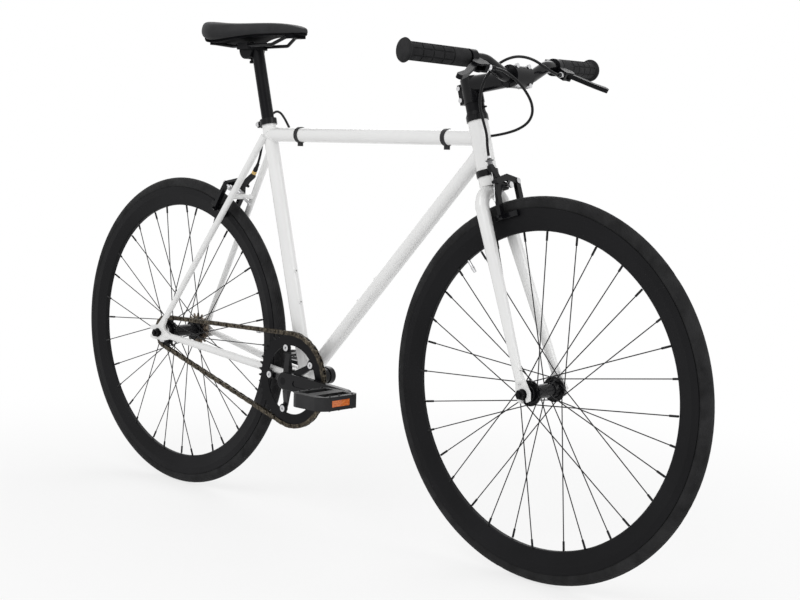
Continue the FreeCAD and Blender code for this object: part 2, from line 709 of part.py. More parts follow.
def crank_arm():
    """The right crank with its arm along +X and the bottom bracket at the origin."""
    end = CRANK_OUTER - 3
    half = BB_SHELL_WIDTH / 2
    arm = plate(stadium((0, 0), (CRANK_LENGTH, 0), CRANK_BOSS_RADIUS, CRANK_END_RADIUS), -CRANK_OUTER,
                -CRANK_INNER)
    arm = arm.makeFillet(3.0, [e for e in arm.Edges if abs(e.CenterOfMass.y + CRANK_OUTER) < 1e-3])
    groove = plate(stadium((34, 0), (CRANK_LENGTH - 30, 0), 6.0, 4.5), -CRANK_OUTER - 1, -CRANK_OUTER + 1.6)
    boss = rod(V(0, -CRANK_INNER - 1, 0), V(0, -half - BB_CUP_LIP - 1, 0), CRANK_BOSS_RADIUS - 2)
    taper_bore = turned([(0, -end - 9), (CRANK_BOLT_RADIUS + SLIP_FIT, -end - 9),
                         (CRANK_BOLT_RADIUS + SLIP_FIT, -end),
                         (SPINDLE_RADIUS - 2 + SLIP_FIT, -end), (SPINDLE_RADIUS + SLIP_FIT, -half - 4),
                         (SPINDLE_RADIUS + 2, -half - 4), (SPINDLE_RADIUS + 2, -half), (0, -half)])
    pedal_bore = rod(V(CRANK_LENGTH, -CRANK_OUTER - 1, 0), V(CRANK_LENGTH, -CRANK_INNER + 1, 0),
                     PEDAL_SPINDLE_RADIUS + SLIP_FIT)
    return arm.cut(groove), boss, [taper_bore, pedal_bore]


def spider_arm():
    """One arm from the crank boss out to a chainring bolt, along +X."""
    tip_in = -RING_INNER_FACE + WELD_GAP
    tip_out = tip_in + SPIDER_TAB_THICKNESS
    inner_edge = BOLT_CIRCLE_RADIUS - CHAINRING_TAB_RADIUS - 2

    def section(x, low, high, width):
        return Part.makePolygon([V(x, low, -width / 2), V(x, high, -width / 2), V(x, high, width / 2),
                                 V(x, low, width / 2), V(x, low, -width / 2)])

    bar = Part.makeLoft([section(6, -CRANK_INNER - 6, -CRANK_INNER + 8, SPIDER_ROOT_WIDTH),
                         section(30, -CRANK_INNER + 2, -CRANK_INNER + 11,
                                 (SPIDER_ROOT_WIDTH + SPIDER_TIP_WIDTH) / 2),
                         section(inner_edge, tip_in, tip_out, SPIDER_TIP_WIDTH),
                         section(BOLT_CIRCLE_RADIUS, tip_in, tip_out, SPIDER_TIP_WIDTH)], True, True)
    tab = rod(V(BOLT_CIRCLE_RADIUS, tip_in, 0), V(BOLT_CIRCLE_RADIUS, tip_out, 0), CHAINRING_TAB_RADIUS - 2)
    hole = rod(V(BOLT_CIRCLE_RADIUS, tip_in - 9, 0), V(BOLT_CIRCLE_RADIUS, tip_out + 9, 0),
               CHAINRING_BOLT_RADIUS + SLIP_FIT)
    return [bar, tab], hole


def cranks():
    arm, boss, bores = crank_arm()
    ring_arms, ring_bores = [], []
    bar, hole = spider_arm()
    for number in range(SPIDER_ARMS):
        angle = 360 / SPIDER_ARMS * (number + 0.5)
        ring_arms += [spun(piece, angle) for piece in bar]
        ring_bores.append(spun(hole, angle))
    right = fused([arm, boss] + ring_arms).cut(bores + ring_bores)
    left = mirrored(fused([arm, boss]).cut(bores))
    add("right_crank", moved(spun(right, -CRANK_DROOP), BB))
    add("left_crank", moved(spun(left, 180 - CRANK_DROOP), BB))

    bolt = fused([rod(V(BOLT_CIRCLE_RADIUS, -RING_OUTER_FACE - 1.4, 0),
                      V(BOLT_CIRCLE_RADIUS, -RING_OUTER_FACE - WELD_GAP, 0),
                      CHAINRING_BOLT_HEAD),
                  rod(V(BOLT_CIRCLE_RADIUS, -RING_OUTER_FACE - 1, 0),
                      V(BOLT_CIRCLE_RADIUS, -RING_INNER_FACE + 6, 0),
                      CHAINRING_BOLT_RADIUS)])
    socket = rod(V(BOLT_CIRCLE_RADIUS, -RING_OUTER_FACE - 2, 0),
                 V(BOLT_CIRCLE_RADIUS, -RING_OUTER_FACE + 2, 0), 2.6)
    bolt = bolt.cut(socket)
    angles = [360 / SPIDER_ARMS * (number + 0.5) - CRANK_DROOP for number in range(SPIDER_ARMS)]
    add("chainring_bolts", *[moved(spun(bolt, angle), BB) for angle in angles])

    body = plate(sprocket_outline(CHAINRING_TEETH), -RING_OUTER_FACE, -RING_INNER_FACE)
    opening = rod(V(0, -RING_OUTER_FACE - 1, 0), V(0, -RING_INNER_FACE + 1, 0), CHAINRING_INNER_RADIUS)
    tabs, holes = [], []
    phase = math.degrees(math.atan2(DRIVE_FORWARD.z, DRIVE_FORWARD.x))
    for angle in angles:
        tab = plate(stadium((BOLT_CIRCLE_RADIUS, 0), (CHAINRING_INNER_RADIUS + 5, 0), CHAINRING_TAB_RADIUS,
                            12.0),
                    -RING_OUTER_FACE, -RING_INNER_FACE)
        tabs.append(spun(tab, angle - phase))
        holes.append(spun(rod(V(BOLT_CIRCLE_RADIUS, -RING_OUTER_FACE - 1, 0),
                              V(BOLT_CIRCLE_RADIUS, -RING_INNER_FACE + 1, 0),
                              CHAINRING_BOLT_RADIUS + SLIP_FIT), angle - phase))
    body = body.cut(opening).fuse(tabs).removeSplitter().cut(holes)
    add("chainring", moved(spun(body, phase), BB))


def pedal_place(side):
    """Where a pedal's axis meets the middle plane."""
    angle = -CRANK_DROOP if side < 0 else 180 - CRANK_DROOP
    return BB + V(CRANK_LENGTH * math.cos(math.radians(angle)), 0,
                  CRANK_LENGTH * math.sin(math.radians(angle)))


def pedals():
    start = CRANK_OUTER + PEDAL_CRANK_GAP
    end = start + PEDAL_WIDTH
    spindle = fused([rod(V(0, -CRANK_INNER, 0), V(0, -start - 4, 0), PEDAL_SPINDLE_RADIUS),
                     rod(V(0, -start - 3, 0), V(0, -end + 6, 0), PEDAL_SPINDLE_RADIUS - 2)])
    add("pedal_spindles", moved(spindle, pedal_place(-1)), moved(mirrored(spindle), pedal_place(1)))

    half = PEDAL_LENGTH / 2
    deck = PEDAL_HEIGHT / 2
    nose = 22.0
    outer_plan = [(-half, -start - 8), (-half + 8, -start), (half - 8, -start), (half, -start - 8),
                  (half, -end + nose),
                  ((half - 7, -end + 7), (half - nose, -end)), (nose - half, -end),
                  ((7 - half, -end + 7), (-half, -end + nose))]
    body = layer(outer_plan, -deck, deck)
    inside = PEDAL_BARREL_RADIUS
    windows = []
    for sign in (-1, 1):
        low, high = sorted((sign * inside, sign * (half - PEDAL_RAIL)))
        windows.append(box(V(low, -end + 16, -deck - 1), V(high, -start - 10, deck + 1)))
        face = sign * half
        x_low, x_high = sorted((face - sign * PEDAL_REFLECTOR_DEPTH, face + sign))
        middle = -(start + end) / 2
        windows.append(box(V(x_low, middle - PEDAL_REFLECTOR_LENGTH / 2, -PEDAL_REFLECTOR_HEIGHT / 2),
                           V(x_high, middle + PEDAL_REFLECTOR_LENGTH / 2, PEDAL_REFLECTOR_HEIGHT / 2)))
    bore = rod(V(0, -start + 1, 0), V(0, -start - 5, 0), PEDAL_SPINDLE_RADIUS + RUNNING_FIT)
    bore = bore.fuse(rod(V(0, -start - 2, 0), V(0, -end + 5, 0), PEDAL_SPINDLE_RADIUS - 2 + RUNNING_FIT))
    cross = box(V(-half + 4, -(start + end) / 2 - 4, -deck + 5),
                V(half - 4, -(start + end) / 2 + 4, deck - 5))
    body = body.cut(windows).fuse(cross).removeSplitter().cut(bore)
    studs = []
    for x in (-half + 5.5, half - 5.5):
        for y in (-start - 14, -(start + end) / 2, -end + 24):
            studs.append(rod(V(x, y, -deck - PEDAL_STUD_HEIGHT), V(x, y, deck + PEDAL_STUD_HEIGHT),
                             PEDAL_STUD_RADIUS))
    lens_low = half - PEDAL_REFLECTOR_DEPTH + WELD_GAP
    lens = box(V(lens_low, -(start + end) / 2 - PEDAL_REFLECTOR_LENGTH / 2 + 0.2,
                 -PEDAL_REFLECTOR_HEIGHT / 2 + 0.2),
               V(half - 0.6, -(start + end) / 2 + PEDAL_REFLECTOR_LENGTH / 2 - 0.2,
                 PEDAL_REFLECTOR_HEIGHT / 2 - 0.2))
    lens_back = lens.mirror(V(0, 0, 0), V(1, 0, 0))
    body = body.fuse(studs).removeSplitter().cut([bore] + windows[1::2])
    for name, turn, side in (("right_pedal", lambda s: s, -1), ("left_pedal", mirrored, 1)):
        add(name, *[moved(turn(piece), pedal_place(side)) for piece in (body, lens, lens_back)])


# Chain and sprockets
def sprocket_outline(teeth):
    """Teeth about the origin in (x, z), with a gap between teeth half a tooth from +X."""
    radius = pitch_radius(teeth)
    gullet = ROLLER_RADIUS + GULLET_CLEARANCE
    tip = radius + TOOTH_HEIGHT
    tip_half = TOOTH_TIP_WIDTH / 2 / tip
    step = 2 * math.pi / teeth
    swing = math.radians(GULLET_ANGLE)

    def polar(r, angle):
        return (r * math.cos(angle), r * math.sin(angle))

    def in_gap(centre_angle, turn):
        centre = polar(radius, centre_angle)
        offset = polar(gullet, centre_angle + math.pi + turn)
        return (centre[0] + offset[0], centre[1] + offset[1])

    points = []
    for number in range(teeth):
        gap = (number + 0.5) * step
        points.append(in_gap(gap, swing))
        points.append((in_gap(gap, 0), in_gap(gap, -swing)))
        points.append(polar(tip, gap + step / 2 - tip_half))
        points.append(polar(tip, gap + step / 2 + tip_half))
    return points


def chain_rollers():
    """Roller centres: over the ring, back along the lower run, round the cog, and along the top."""
    def on_wheel(centre, radius, angle):
        return centre + DRIVE_FORWARD * (radius * math.cos(angle)) + DRIVE_UP * (radius * math.sin(angle))

    places = [on_wheel(BB, RING_PITCH_RADIUS, RING_WRAP - 2 * math.pi * n / CHAINRING_TEETH)
              for n in range(RING_STEPS + 1)]
    cog = [on_wheel(REAR_AXLE, COG_PITCH_RADIUS, math.pi + COG_WRAP - 2 * math.pi * n / COG_TEETH)
           for n in range(COG_STEPS + 1)]

    def run(start, end):
        return [start + (end - start) * (n / SPAN_LINKS) for n in range(1, SPAN_LINKS)]

    return places + run(places[-1], cog[0]) + cog + run(cog[-1], places[0])


def chain():
    bore = CHAIN_PIN_RADIUS + RUNNING_FIT
    inner_low = ROLLER_WIDTH / 2
    inner_high = inner_low + CHAIN_PLATE_THICKNESS
    outer_low = inner_high + CHAIN_PLATE_GAP
    outer_high = outer_low + CHAIN_PLATE_THICKNESS
    shape = stadium((0, 0), (CHAIN_PITCH, 0), CHAIN_PLATE_RADIUS)
    ends = (V(0, 0, 0), V(CHAIN_PITCH, 0, 0))

    def across(end, radius, half):
        return rod(end - V(0, half, 0), end + V(0, half, 0), radius)

    inner = fused([plate(shape, -inner_high, -inner_low), plate(shape, inner_low, inner_high)]
                  + [across(end, ROLLER_RADIUS, inner_low) for end in ends])
    inner = inner.cut([across(end, bore, inner_high + 1) for end in ends])
    outer = fused([plate(shape, -outer_high, -outer_low), plate(shape, outer_low, outer_high)]
                  + [across(end, CHAIN_PIN_RADIUS, outer_high + CHAIN_PIN_STUB) for end in ends])
    rollers = chain_rollers()
    links = []
    for number, place in enumerate(rollers):
        way = rollers[(number + 1) % len(rollers)] - place
        angle = math.degrees(math.atan2(way.z, way.x))
        link = outer if number % 2 else inner
        links.append(moved(spun(link, angle), place + V(0, -CHAIN_LINE, 0)))
    add("chain", *links)


def rear_sprockets():
    phase = math.degrees(math.atan2(DRIVE_FORWARD.z, DRIVE_FORWARD.x))
    low = CHAIN_LINE - SPROCKET_THICKNESS / 2
    high = CHAIN_LINE + SPROCKET_THICKNESS / 2
    teeth = plate(sprocket_outline(COG_TEETH), -high, -low)
    body = rod(V(0, -high + SPROCKET_THICKNESS, 0), V(0, -high + SPROCKET_THICKNESS - COG_BODY_WIDTH, 0),
               COG_BODY_RADIUS)
    thread = rod(V(0, -100, 0), V(0, 100, 0), COG_THREAD_RADIUS + WELD_GAP)
    cog = teeth.fuse(body).removeSplitter().cut(thread)
    add("fixed_cog", moved(spun(cog, phase), REAR_AXLE))

    start = high - SPROCKET_THICKNESS + COG_BODY_WIDTH + WELD_GAP
    lock = ring(LOCKRING_THREAD_RADIUS + WELD_GAP, LOCKRING_RADIUS, -start - LOCKRING_WIDTH, -start)
    notch = box(V(LOCKRING_RADIUS - 2.4, -start - LOCKRING_WIDTH - 1, -2.5),
                V(LOCKRING_RADIUS + 3, -start + 1, 2.5))
    notches = [spun(notch, 360 / LOCKRING_NOTCHES * number) for number in range(LOCKRING_NOTCHES)]
    add("cog_lockring", moved(lock.cut(notches), REAR_AXLE))

    teeth = plate(sprocket_outline(FREEWHEEL_TEETH), low + 3, high + 3)
    body = rod(V(0, low, 0), V(0, low + FREEWHEEL_WIDTH, 0), FREEWHEEL_BODY_RADIUS)
    free = teeth.fuse(body).removeSplitter().cut(thread)
    recess = ring(COG_THREAD_RADIUS + 2, FREEWHEEL_BODY_RADIUS - 3, low - 1 + FREEWHEEL_WIDTH,
                  low + 1 + FREEWHEEL_WIDTH)
    add("freewheel", moved(free.cut(recess), REAR_AXLE))


# Wheels
def tyre():
    bead = RIM_WIDTH / 2 - RIM_WALL - RUNNING_FIT
    seat = RIM_EDGE_RADIUS - BEAD_SEAT_DEPTH + WELD_GAP
    wide = TYRE_WIDTH / 2
    waist = TYRE_RADIUS - wide
    inside = TYRE_RADIUS - TYRE_WALL - TREAD_THICKNESS
    return turned([
        (seat, bead), (RIM_EDGE_RADIUS, bead), ((waist, wide), (TYRE_RADIUS, 0)),
        ((waist, -wide), (RIM_EDGE_RADIUS, -bead)),
        (seat, -bead), (seat, TYRE_WALL - bead), (RIM_EDGE_RADIUS, TYRE_WALL - bead),
        ((waist, TYRE_WALL - wide), (inside, 0)),
        ((waist, wide - TYRE_WALL), (RIM_EDGE_RADIUS, bead - TYRE_WALL)),
        (seat, bead - TYRE_WALL),
    ])


def rim():
    half = RIM_WIDTH / 2
    nose = RIM_NOSE_WIDTH / 2
    track = RIM_EDGE_RADIUS - BRAKE_TRACK_HEIGHT
    floor = RIM_EDGE_RADIUS - BEAD_SEAT_DEPTH
    outside = turned([
        (RIM_EDGE_RADIUS, half), (track, half), (RIM_NOSE_RADIUS + 2, nose + 1),
        (RIM_NOSE_RADIUS, nose - 1),
        (RIM_NOSE_RADIUS, 1 - nose), (RIM_NOSE_RADIUS + 2, -nose - 1), (track, -half),
        (RIM_EDGE_RADIUS, -half),
        (RIM_EDGE_RADIUS, RIM_WALL - half), (floor, RIM_WALL - half), (floor, half - RIM_WALL),
        (RIM_EDGE_RADIUS, half - RIM_WALL),
    ])
    low = RIM_NOSE_RADIUS + 2 * RIM_WALL
    cavity = turned([(floor - RIM_WALL, half - RIM_WALL), (track, half - RIM_WALL),
                     (low, nose - RIM_WALL + 1),
                     (low, RIM_WALL - nose - 1), (track, RIM_WALL - half),
                     (floor - RIM_WALL, RIM_WALL - half)])
    valve_hole = rod(V(RIM_NOSE_RADIUS - 1, 0, 0), V(RIM_EDGE_RADIUS, 0, 0), VALVE_RADIUS + SLIP_FIT)
    return outside.cut([cavity, valve_hole])


def inner_tube():
    radius = TYRE_WIDTH / 2 - TYRE_WALL - TREAD_THICKNESS - INNER_TUBE_ROOM
    centre = TYRE_RADIUS - TYRE_WIDTH / 2
    body = Part.makeTorus(centre, radius, V(0, 0, 0), V(0, 1, 0))
    hollow = Part.makeTorus(centre, radius - TUBE_WALL, V(0, 0, 0), V(0, 1, 0))
    tip = RIM_NOSE_RADIUS - VALVE_LENGTH
    stem = rod(V(tip, 0, 0), V(centre - radius + TUBE_WALL / 2, 0, 0), VALVE_RADIUS)
    cap = cone(V(tip - 1, 0, 0), V(tip + VALVE_CAP_LENGTH, 0, 0), VALVE_CAP_RADIUS - 1, VALVE_CAP_RADIUS)
    return body.fuse([stem, cap]).removeSplitter().cut(hollow)


def spokes(spacing):
    """All the spokes of a wheel whose valve is at +X: each crosses SPOKE_CROSSES others."""
    per_side = SPOKE_COUNT // 2
    step = 360 / per_side
    trim = Part.makeCylinder(RIM_NOSE_RADIUS - WELD_GAP, 200, V(0, -100, 0), V(0, 1, 0))
    made = []
    for side in (-1, 1):
        for lead in (-1, 1):
            lift = SPOKE_LIFT if lead > 0 else WELD_GAP
            face = side * spacing / 2 + lead * side * (FLANGE_THICKNESS / 2 + SPOKE_RADIUS + lift)
            far_face = side * spacing / 2 - lead * side * (FLANGE_THICKNESS / 2 + WELD_GAP)
            head_end = far_face - lead * side * SPOKE_HEAD_THICKNESS
            swing = math.radians(lead * SPOKE_CROSSES * step)
            hub_end = V(SPOKE_CIRCLE_RADIUS, face, 0)
            rim_end = V(RIM_EDGE_RADIUS * math.cos(swing), side * NIPPLE_OFFSET,
                        RIM_EDGE_RADIUS * math.sin(swing))
            way = (rim_end - hub_end).normalize()
            seat = reach_radius(hub_end, way, RIM_NOSE_RADIUS)
            wires = [rod(hub_end, hub_end + way * (seat - NIPPLE_LENGTH + 1), SPOKE_RADIUS),
                     Part.makeSphere(SPOKE_RADIUS, hub_end),
                     rod(hub_end, V(SPOKE_CIRCLE_RADIUS, head_end, 0), SPOKE_RADIUS),
                     rod(V(SPOKE_CIRCLE_RADIUS, far_face, 0), V(SPOKE_CIRCLE_RADIUS, head_end, 0),
                         SPOKE_HEAD_RADIUS),
                     rod(hub_end + way * (seat - NIPPLE_LENGTH), hub_end + way * (seat + 3), NIPPLE_RADIUS)]
            spoke = fused(wires).common(trim)
            start = flange_phase(side) + (step if lead > 0 else 0)
            made += [spun(spoke, start + 2 * step * number) for number in range(per_side // 2)]
    return made


def flange_phase(side):
    """The angle of a flange's first hole, so that the rim's holes straddle the valve."""
    gap = 360 / SPOKE_COUNT
    return gap / 2 if side < 0 else -gap / 2


def reach_radius(start, way, radius):
    """How far along a line its distance from the axle becomes the radius."""
    flat = V(way.x, 0, way.z)
    a = flat.dot(flat)
    b = V(start.x, 0, start.z).dot(flat)
    c = start.x ** 2 + start.z ** 2 - radius ** 2
    return (math.sqrt(b * b - a * c) - b) / a


def hub_shell(spacing, end, axle_radius, threaded=False):
    """A hub about Y: barrel, two drilled flanges and a bearing seat in each end."""
    flange = spacing / 2
    half = FLANGE_THICKNESS / 2
    right = [(HUB_BARREL_RADIUS, flange - 10), (HUB_END_RADIUS + 1, flange - half),
             (FLANGE_RADIUS, flange - half),
             (FLANGE_RADIUS, flange + half)]
    if threaded:
        step = CHAIN_LINE + COG_BODY_WIDTH - SPROCKET_THICKNESS / 2
        shoulder = RING_INNER_FACE - WELD_GAP
        right += [(COG_THREAD_RADIUS, flange + half), (COG_THREAD_RADIUS, shoulder - 2.4),
                  (COG_THREAD_RADIUS + 2.6, shoulder - 2.4),
                  (COG_THREAD_RADIUS + 2.6, shoulder), (COG_THREAD_RADIUS, shoulder),
                  (COG_THREAD_RADIUS, step - 1),
                  (LOCKRING_THREAD_RADIUS, step), (LOCKRING_THREAD_RADIUS, end)]
    else:
        right += [(HUB_END_RADIUS, flange + half), (HUB_END_RADIUS, end - 1), (HUB_END_RADIUS - 1, end)]
    seat = BEARING_RADIUS + RUNNING_FIT
    clear = axle_radius + HUB_PLAY
    inside = [(seat, end), (seat, end - BEARING_WIDTH), (clear, end - BEARING_WIDTH)]
    outline = right + inside
    mirror_side = [(radius, -along) for radius, along in reversed(outline)]
    body = turned(outline + mirror_side)
    holes = []
    for side in (-1, 1):
        low, high = sorted((side * (flange - half - 1), side * (flange + half + 1)))
        hole = rod(V(SPOKE_CIRCLE_RADIUS, low, 0), V(SPOKE_CIRCLE_RADIUS, high, 0), SPOKE_RADIUS + 0.1)
        step = 720 / SPOKE_COUNT
        holes += [spun(hole, flange_phase(side) + step * number) for number in range(SPOKE_COUNT // 2)]
    return body.cut(holes)


def axle(radius, hub_end, width, end_thickness):
    """Axle, bearings, locknuts and nuts about Y."""
    half = width / 2
    nut_start = half + end_thickness + WELD_GAP
    tip = nut_start + AXLE_NUT_WASHER + AXLE_NUT_HEIGHT + AXLE_STUB
    body = tip - AXLE_STUB
    point = radius - AXLE_POINT
    pieces = [turned([(0, -tip), (point, -tip), (point, -body), (radius, -body),
                      (radius, body), (point, body), (point, tip), (0, tip)])]
    corner = AXLE_NUT_FLATS / math.sqrt(3)
    hexagon = [(corner * math.cos(math.pi / 3 * n), corner * math.sin(math.pi / 3 * n)) for n in range(6)]
    nut = plate(hexagon, nut_start + AXLE_NUT_WASHER - 0.1, nut_start + AXLE_NUT_WASHER + AXLE_NUT_HEIGHT)
    washer = rod(V(0, nut_start, 0), V(0, nut_start + AXLE_NUT_WASHER, 0), corner + 1)
    nut = nut.fuse(washer).removeSplitter().cut(rod(V(0, 0, 0), V(0, tip + 1, 0), radius + WELD_GAP))
    bearing = ring(radius + WELD_GAP, BEARING_RADIUS, hub_end - BEARING_WIDTH + CLEARANCE, hub_end)
    locknut = ring(radius + WELD_GAP, LOCKNUT_RADIUS, hub_end + WELD_GAP, half - WELD_GAP)
    for piece in (bearing, locknut, nut):
        pieces += [piece, mirrored(piece)]
    return pieces


def wheel(name, centre, valve_angle, spacing, end, axle_radius, threaded):
    def at_wheel(shape):
        return moved(spun(shape, valve_angle), centre)

    add(name + "_tyre", at_wheel(tyre()))
    add(name + "_inner_tube", at_wheel(inner_tube()))
    add(name + "_rim", at_wheel(rim()))
    add(name + "_spokes", *[at_wheel(spoke) for spoke in spokes(spacing)])
    add(name + "_hub", at_wheel(hub_shell(spacing, end, axle_radius, threaded)))


# Fork, stem and handlebar
def fork():
    arch_top = BLADE_TOP_HEIGHT + BLADE_TOP_OFFSET
    stub_low = arch_top + BRAKE_BOLT_RADIUS + 6
    stub = Part.makeCylinder(CROWN_STUB_RADIUS, CROWN_HEIGHT - CLEARANCE - stub_low, V(0, 0, stub_low))
    arch = Part.makeTorus(BLADE_TOP_OFFSET, BLADE_TOP_RADIUS, V(0, 0, BLADE_TOP_HEIGHT), V(1, 0, 0))
    arch = arch.common(box(V(-60, -100, BLADE_TOP_HEIGHT), V(60, 100, BLADE_TOP_HEIGHT + 100)))
    face = BLADE_TOP_RADIUS + WELD_GAP
    pad = rod(V(-face, 0, brake_height()), V(face, 0, brake_height()), BRAKE_BOLT_RADIUS + 4)
    bolt_way = rod(V(-60, 0, brake_height()), V(60, 0, brake_height()), BRAKE_BOLT_RADIUS + WELD_GAP)
    steerer_keep = Part.makeCylinder(STEERER_RADIUS, 200, V(0, 0, arch_top + 14))
    crown = fused([stub, arch, pad]).cut([steerer_keep, bolt_way])
    add("fork_crown", placed(crown, STEER))
    steerer = collar(STEERER_RADIUS - STEERER_WALL, STEERER_RADIUS - WELD_GAP, arch_top + 14 + WELD_GAP,
                     STEM_HIGH - 3)
    add("fork_steerer", placed(steerer, STEER))

    middle = FRONT_HUB_WIDTH / 2 + FORK_END_THICKNESS / 2
    top = V(0, BLADE_TOP_OFFSET, BLADE_TOP_HEIGHT - WELD_GAP)
    low = V(FORK_RAKE * 0.92, middle, 24)
    inner_top = BLADE_TOP_RADIUS - BLADE_WALL
    inner_low = BLADE_END_RADIUS - BLADE_WALL
    blade = cone(top, low, BLADE_TOP_RADIUS, BLADE_END_RADIUS)
    blade = blade.fuse(Part.makeSphere(BLADE_END_RADIUS, low))
    hollow = cone(top, low, inner_top, inner_low)
    level = box(V(-60, -100, BLADE_TOP_HEIGHT - WELD_GAP), V(60, 100, BLADE_TOP_HEIGHT + 40))
    half = FRONT_AXLE_RADIUS + 0.2
    outer = 15.0
    end_low = FRONT_HUB_WIDTH / 2
    outline = [(-half, -outer), (-half, 0), ((0, half), (half, 0)), (half, -outer),
               (outer * 0.75, -outer * 0.9),
               (outer, 0), (outer * 0.62, 20), (4, 40), (-10, 40), (-outer * 0.75, 20), (-outer, 0),
               (-outer * 0.75, -outer * 0.9)]
    tip = moved(plate(outline, end_low, end_low + FORK_END_THICKNESS), V(FORK_RAKE, 0, 0))
    blade = blade.cut([hollow, level, moved(box(V(-40, end_low - WELD_GAP, -60),
                                                V(40, end_low + FORK_END_THICKNESS + WELD_GAP, 41)),
                                            V(FORK_RAKE, 0, 0))])
    blade_solids = [max(blade.Solids, key=lambda solid: solid.Volume)]
    blade_solids += [solid for solid in blade.Solids
                     if solid.Volume < blade_solids[0].Volume and solid.Volume > 50]
    left = blade_solids + [tip]
    add("fork_blades", *[placed(piece, STEER) for piece in left + [mirrored(piece) for piece in left]])


def brake_height():
    """The front brake bolt's height on the steering axis, above the rim by the brake's reach."""
    forward = BLADE_TOP_RADIUS + PAD_DEPTH - FORK_RAKE
    return math.sqrt(BRAKE_TRACK_RADIUS ** 2 - forward ** 2) + BRAKE_REACH


def stem():
    bar_axis = V(0, BAR_CLAMP_WIDTH / 2, 0)
    column = rod(steer_point(0, 0, STEM_LOW), steer_point(0, 0, STEM_HIGH), STEM_CLAMP_RADIUS)
    lug = placed(box(V(-STEM_CLAMP_RADIUS - 7, -9, STEM_LOW + 3), V(-STEERER_RADIUS - 1, 9, STEM_HIGH - 5)),
                 STEER)
    extension = cone(STEM_ROOT, BAR_CENTRE, STEM_RADIUS + 1, STEM_RADIUS - 1)
    clamp = rod(BAR_CENTRE - bar_axis, BAR_CENTRE + bar_axis, BAR_CLAMP_OUTER)
    bar_way = rod(BAR_CENTRE - bar_axis * 3, BAR_CENTRE + bar_axis * 3, BAR_CLAMP_RADIUS + SLIP_FIT)
    steer_way = rod(steer_point(0, 0, STEM_LOW - 9), steer_point(0, 0, STEM_HIGH + 9),
                    STEERER_RADIUS + SLIP_FIT)
    slit = placed(box(V(-STEM_CLAMP_RADIUS - 9, -1, STEM_LOW - 1),
                      V(-STEERER_RADIUS + 3, 1, STEM_HIGH + 1)), STEER)
    whole = fused([column, extension, clamp, lug])
    frame = facing(BAR_CENTRE, STEM_DIRECTION, V(0, 1, 0), V(-STEM_DIRECTION.z, 0, STEM_DIRECTION.x))
    gap = FACEPLATE_GAP / 2
    front = placed(box(V(gap, -60, -60), V(90, 60, 60)), frame)
    back_cut = placed(box(V(-gap, -60, -60), V(90, 60, 60)), frame)
    bolt_ways, bolts = [], []
    reach = (BAR_CLAMP_RADIUS + BAR_CLAMP_OUTER) / 2 + 0.3
    for y in (-BAR_CLAMP_WIDTH / 2 + 7, BAR_CLAMP_WIDTH / 2 - 7):
        for z in (-reach, reach):
            bolt_ways.append(placed(rod(V(-12, y, z), V(40, y, z), STEM_BOLT_RADIUS + SLIP_FIT), frame))
            face = math.sqrt(BAR_CLAMP_OUTER ** 2 - reach ** 2)
            bolts.append(placed(fused([rod(V(-11.9, y, z), V(face + 3, y, z), STEM_BOLT_RADIUS),
                                       rod(V(face + 1.2, y, z), V(face + 5, y, z),
                                           STEM_BOLT_RADIUS + 1.6)]), frame))
    seats = [placed(rod(V(math.sqrt(BAR_CLAMP_OUTER ** 2 - reach ** 2) + 1.2 - SLIP_FIT, y, z), V(60, y, z),
                        STEM_BOLT_RADIUS + 2.2), frame)
             for y in (-BAR_CLAMP_WIDTH / 2 + 7, BAR_CLAMP_WIDTH / 2 - 7) for z in (-reach, reach)]
    pinch_ways = []
    pinch_x = -STEM_CLAMP_RADIUS - 2.6
    for height in (STEM_LOW + 11, STEM_HIGH - 12):
        pinch_ways.append(placed(rod(V(pinch_x, -30, height), V(pinch_x, 30, height),
                                     STEM_BOLT_RADIUS + SLIP_FIT), STEER))
        bolts.append(placed(fused([rod(V(pinch_x, -9, height), V(pinch_x, 10, height), STEM_BOLT_RADIUS),
                                   rod(V(pinch_x, -13, height), V(pinch_x, -9.02, height),
                                       STEM_BOLT_RADIUS + 1.6)]), STEER))
    cap_room = placed(Part.makeCylinder(SPACER_RADIUS + 1, 30, V(0, 0, STEM_HIGH)), STEER)
    body = whole.cut([bar_way, steer_way, slit, back_cut, cap_room] + bolt_ways + pinch_ways)
    plate_half = clamp.common(front).cut([bar_way] + bolt_ways + seats)
    add("stem", max(body.Solids, key=lambda solid: solid.Volume))
    add("stem_faceplate", plate_half)
    return bolts


def headset_spacers():
    bore = STEERER_RADIUS + SLIP_FIT
    low = HEADSET_TOP + CLEARANCE
    cover = Part.makeCone(CUP_RADIUS - 0.5, SPACER_RADIUS, COVER_HEIGHT, V(0, 0, low))
    cover = cover.cut(Part.makeCylinder(bore, COVER_HEIGHT, V(0, 0, low)))
    start = low + COVER_HEIGHT
    thick = (STEM_LOW - start) / 2
    rings = [collar(bore, SPACER_RADIUS, start + thick * n + WELD_GAP, start + thick * (n + 1))
             for n in range(2)]
    cap = Part.makeCylinder(SPACER_RADIUS, TOP_CAP_THICKNESS, V(0, 0, STEM_HIGH + WELD_GAP))
    eyelet_place = V(SPACER_RADIUS + 3.4, 0, start + thick / 2)
    eyelet = Part.makeTorus(3.6, 1.2, eyelet_place, V(0, 0, 1))
    rings[0] = rings[0].fuse(eyelet).removeSplitter()
    add("headset_spacers", *[placed(piece, STEER) for piece in [cover] + rings + [cap]])


def bar_points():
    """The handlebar's left half, from the clamp out to its end."""
    return [BAR_CENTRE, BAR_CENTRE + V(0, BAR_FLAT_HALF, 0),
            BAR_CENTRE + V(-BAR_KNEE_BACK, BAR_KNEE_HALF, BAR_KNEE_RISE),
            BAR_CENTRE + V(-BAR_BACK_SWEEP, BAR_HALF_WIDTH, BAR_RISE)]


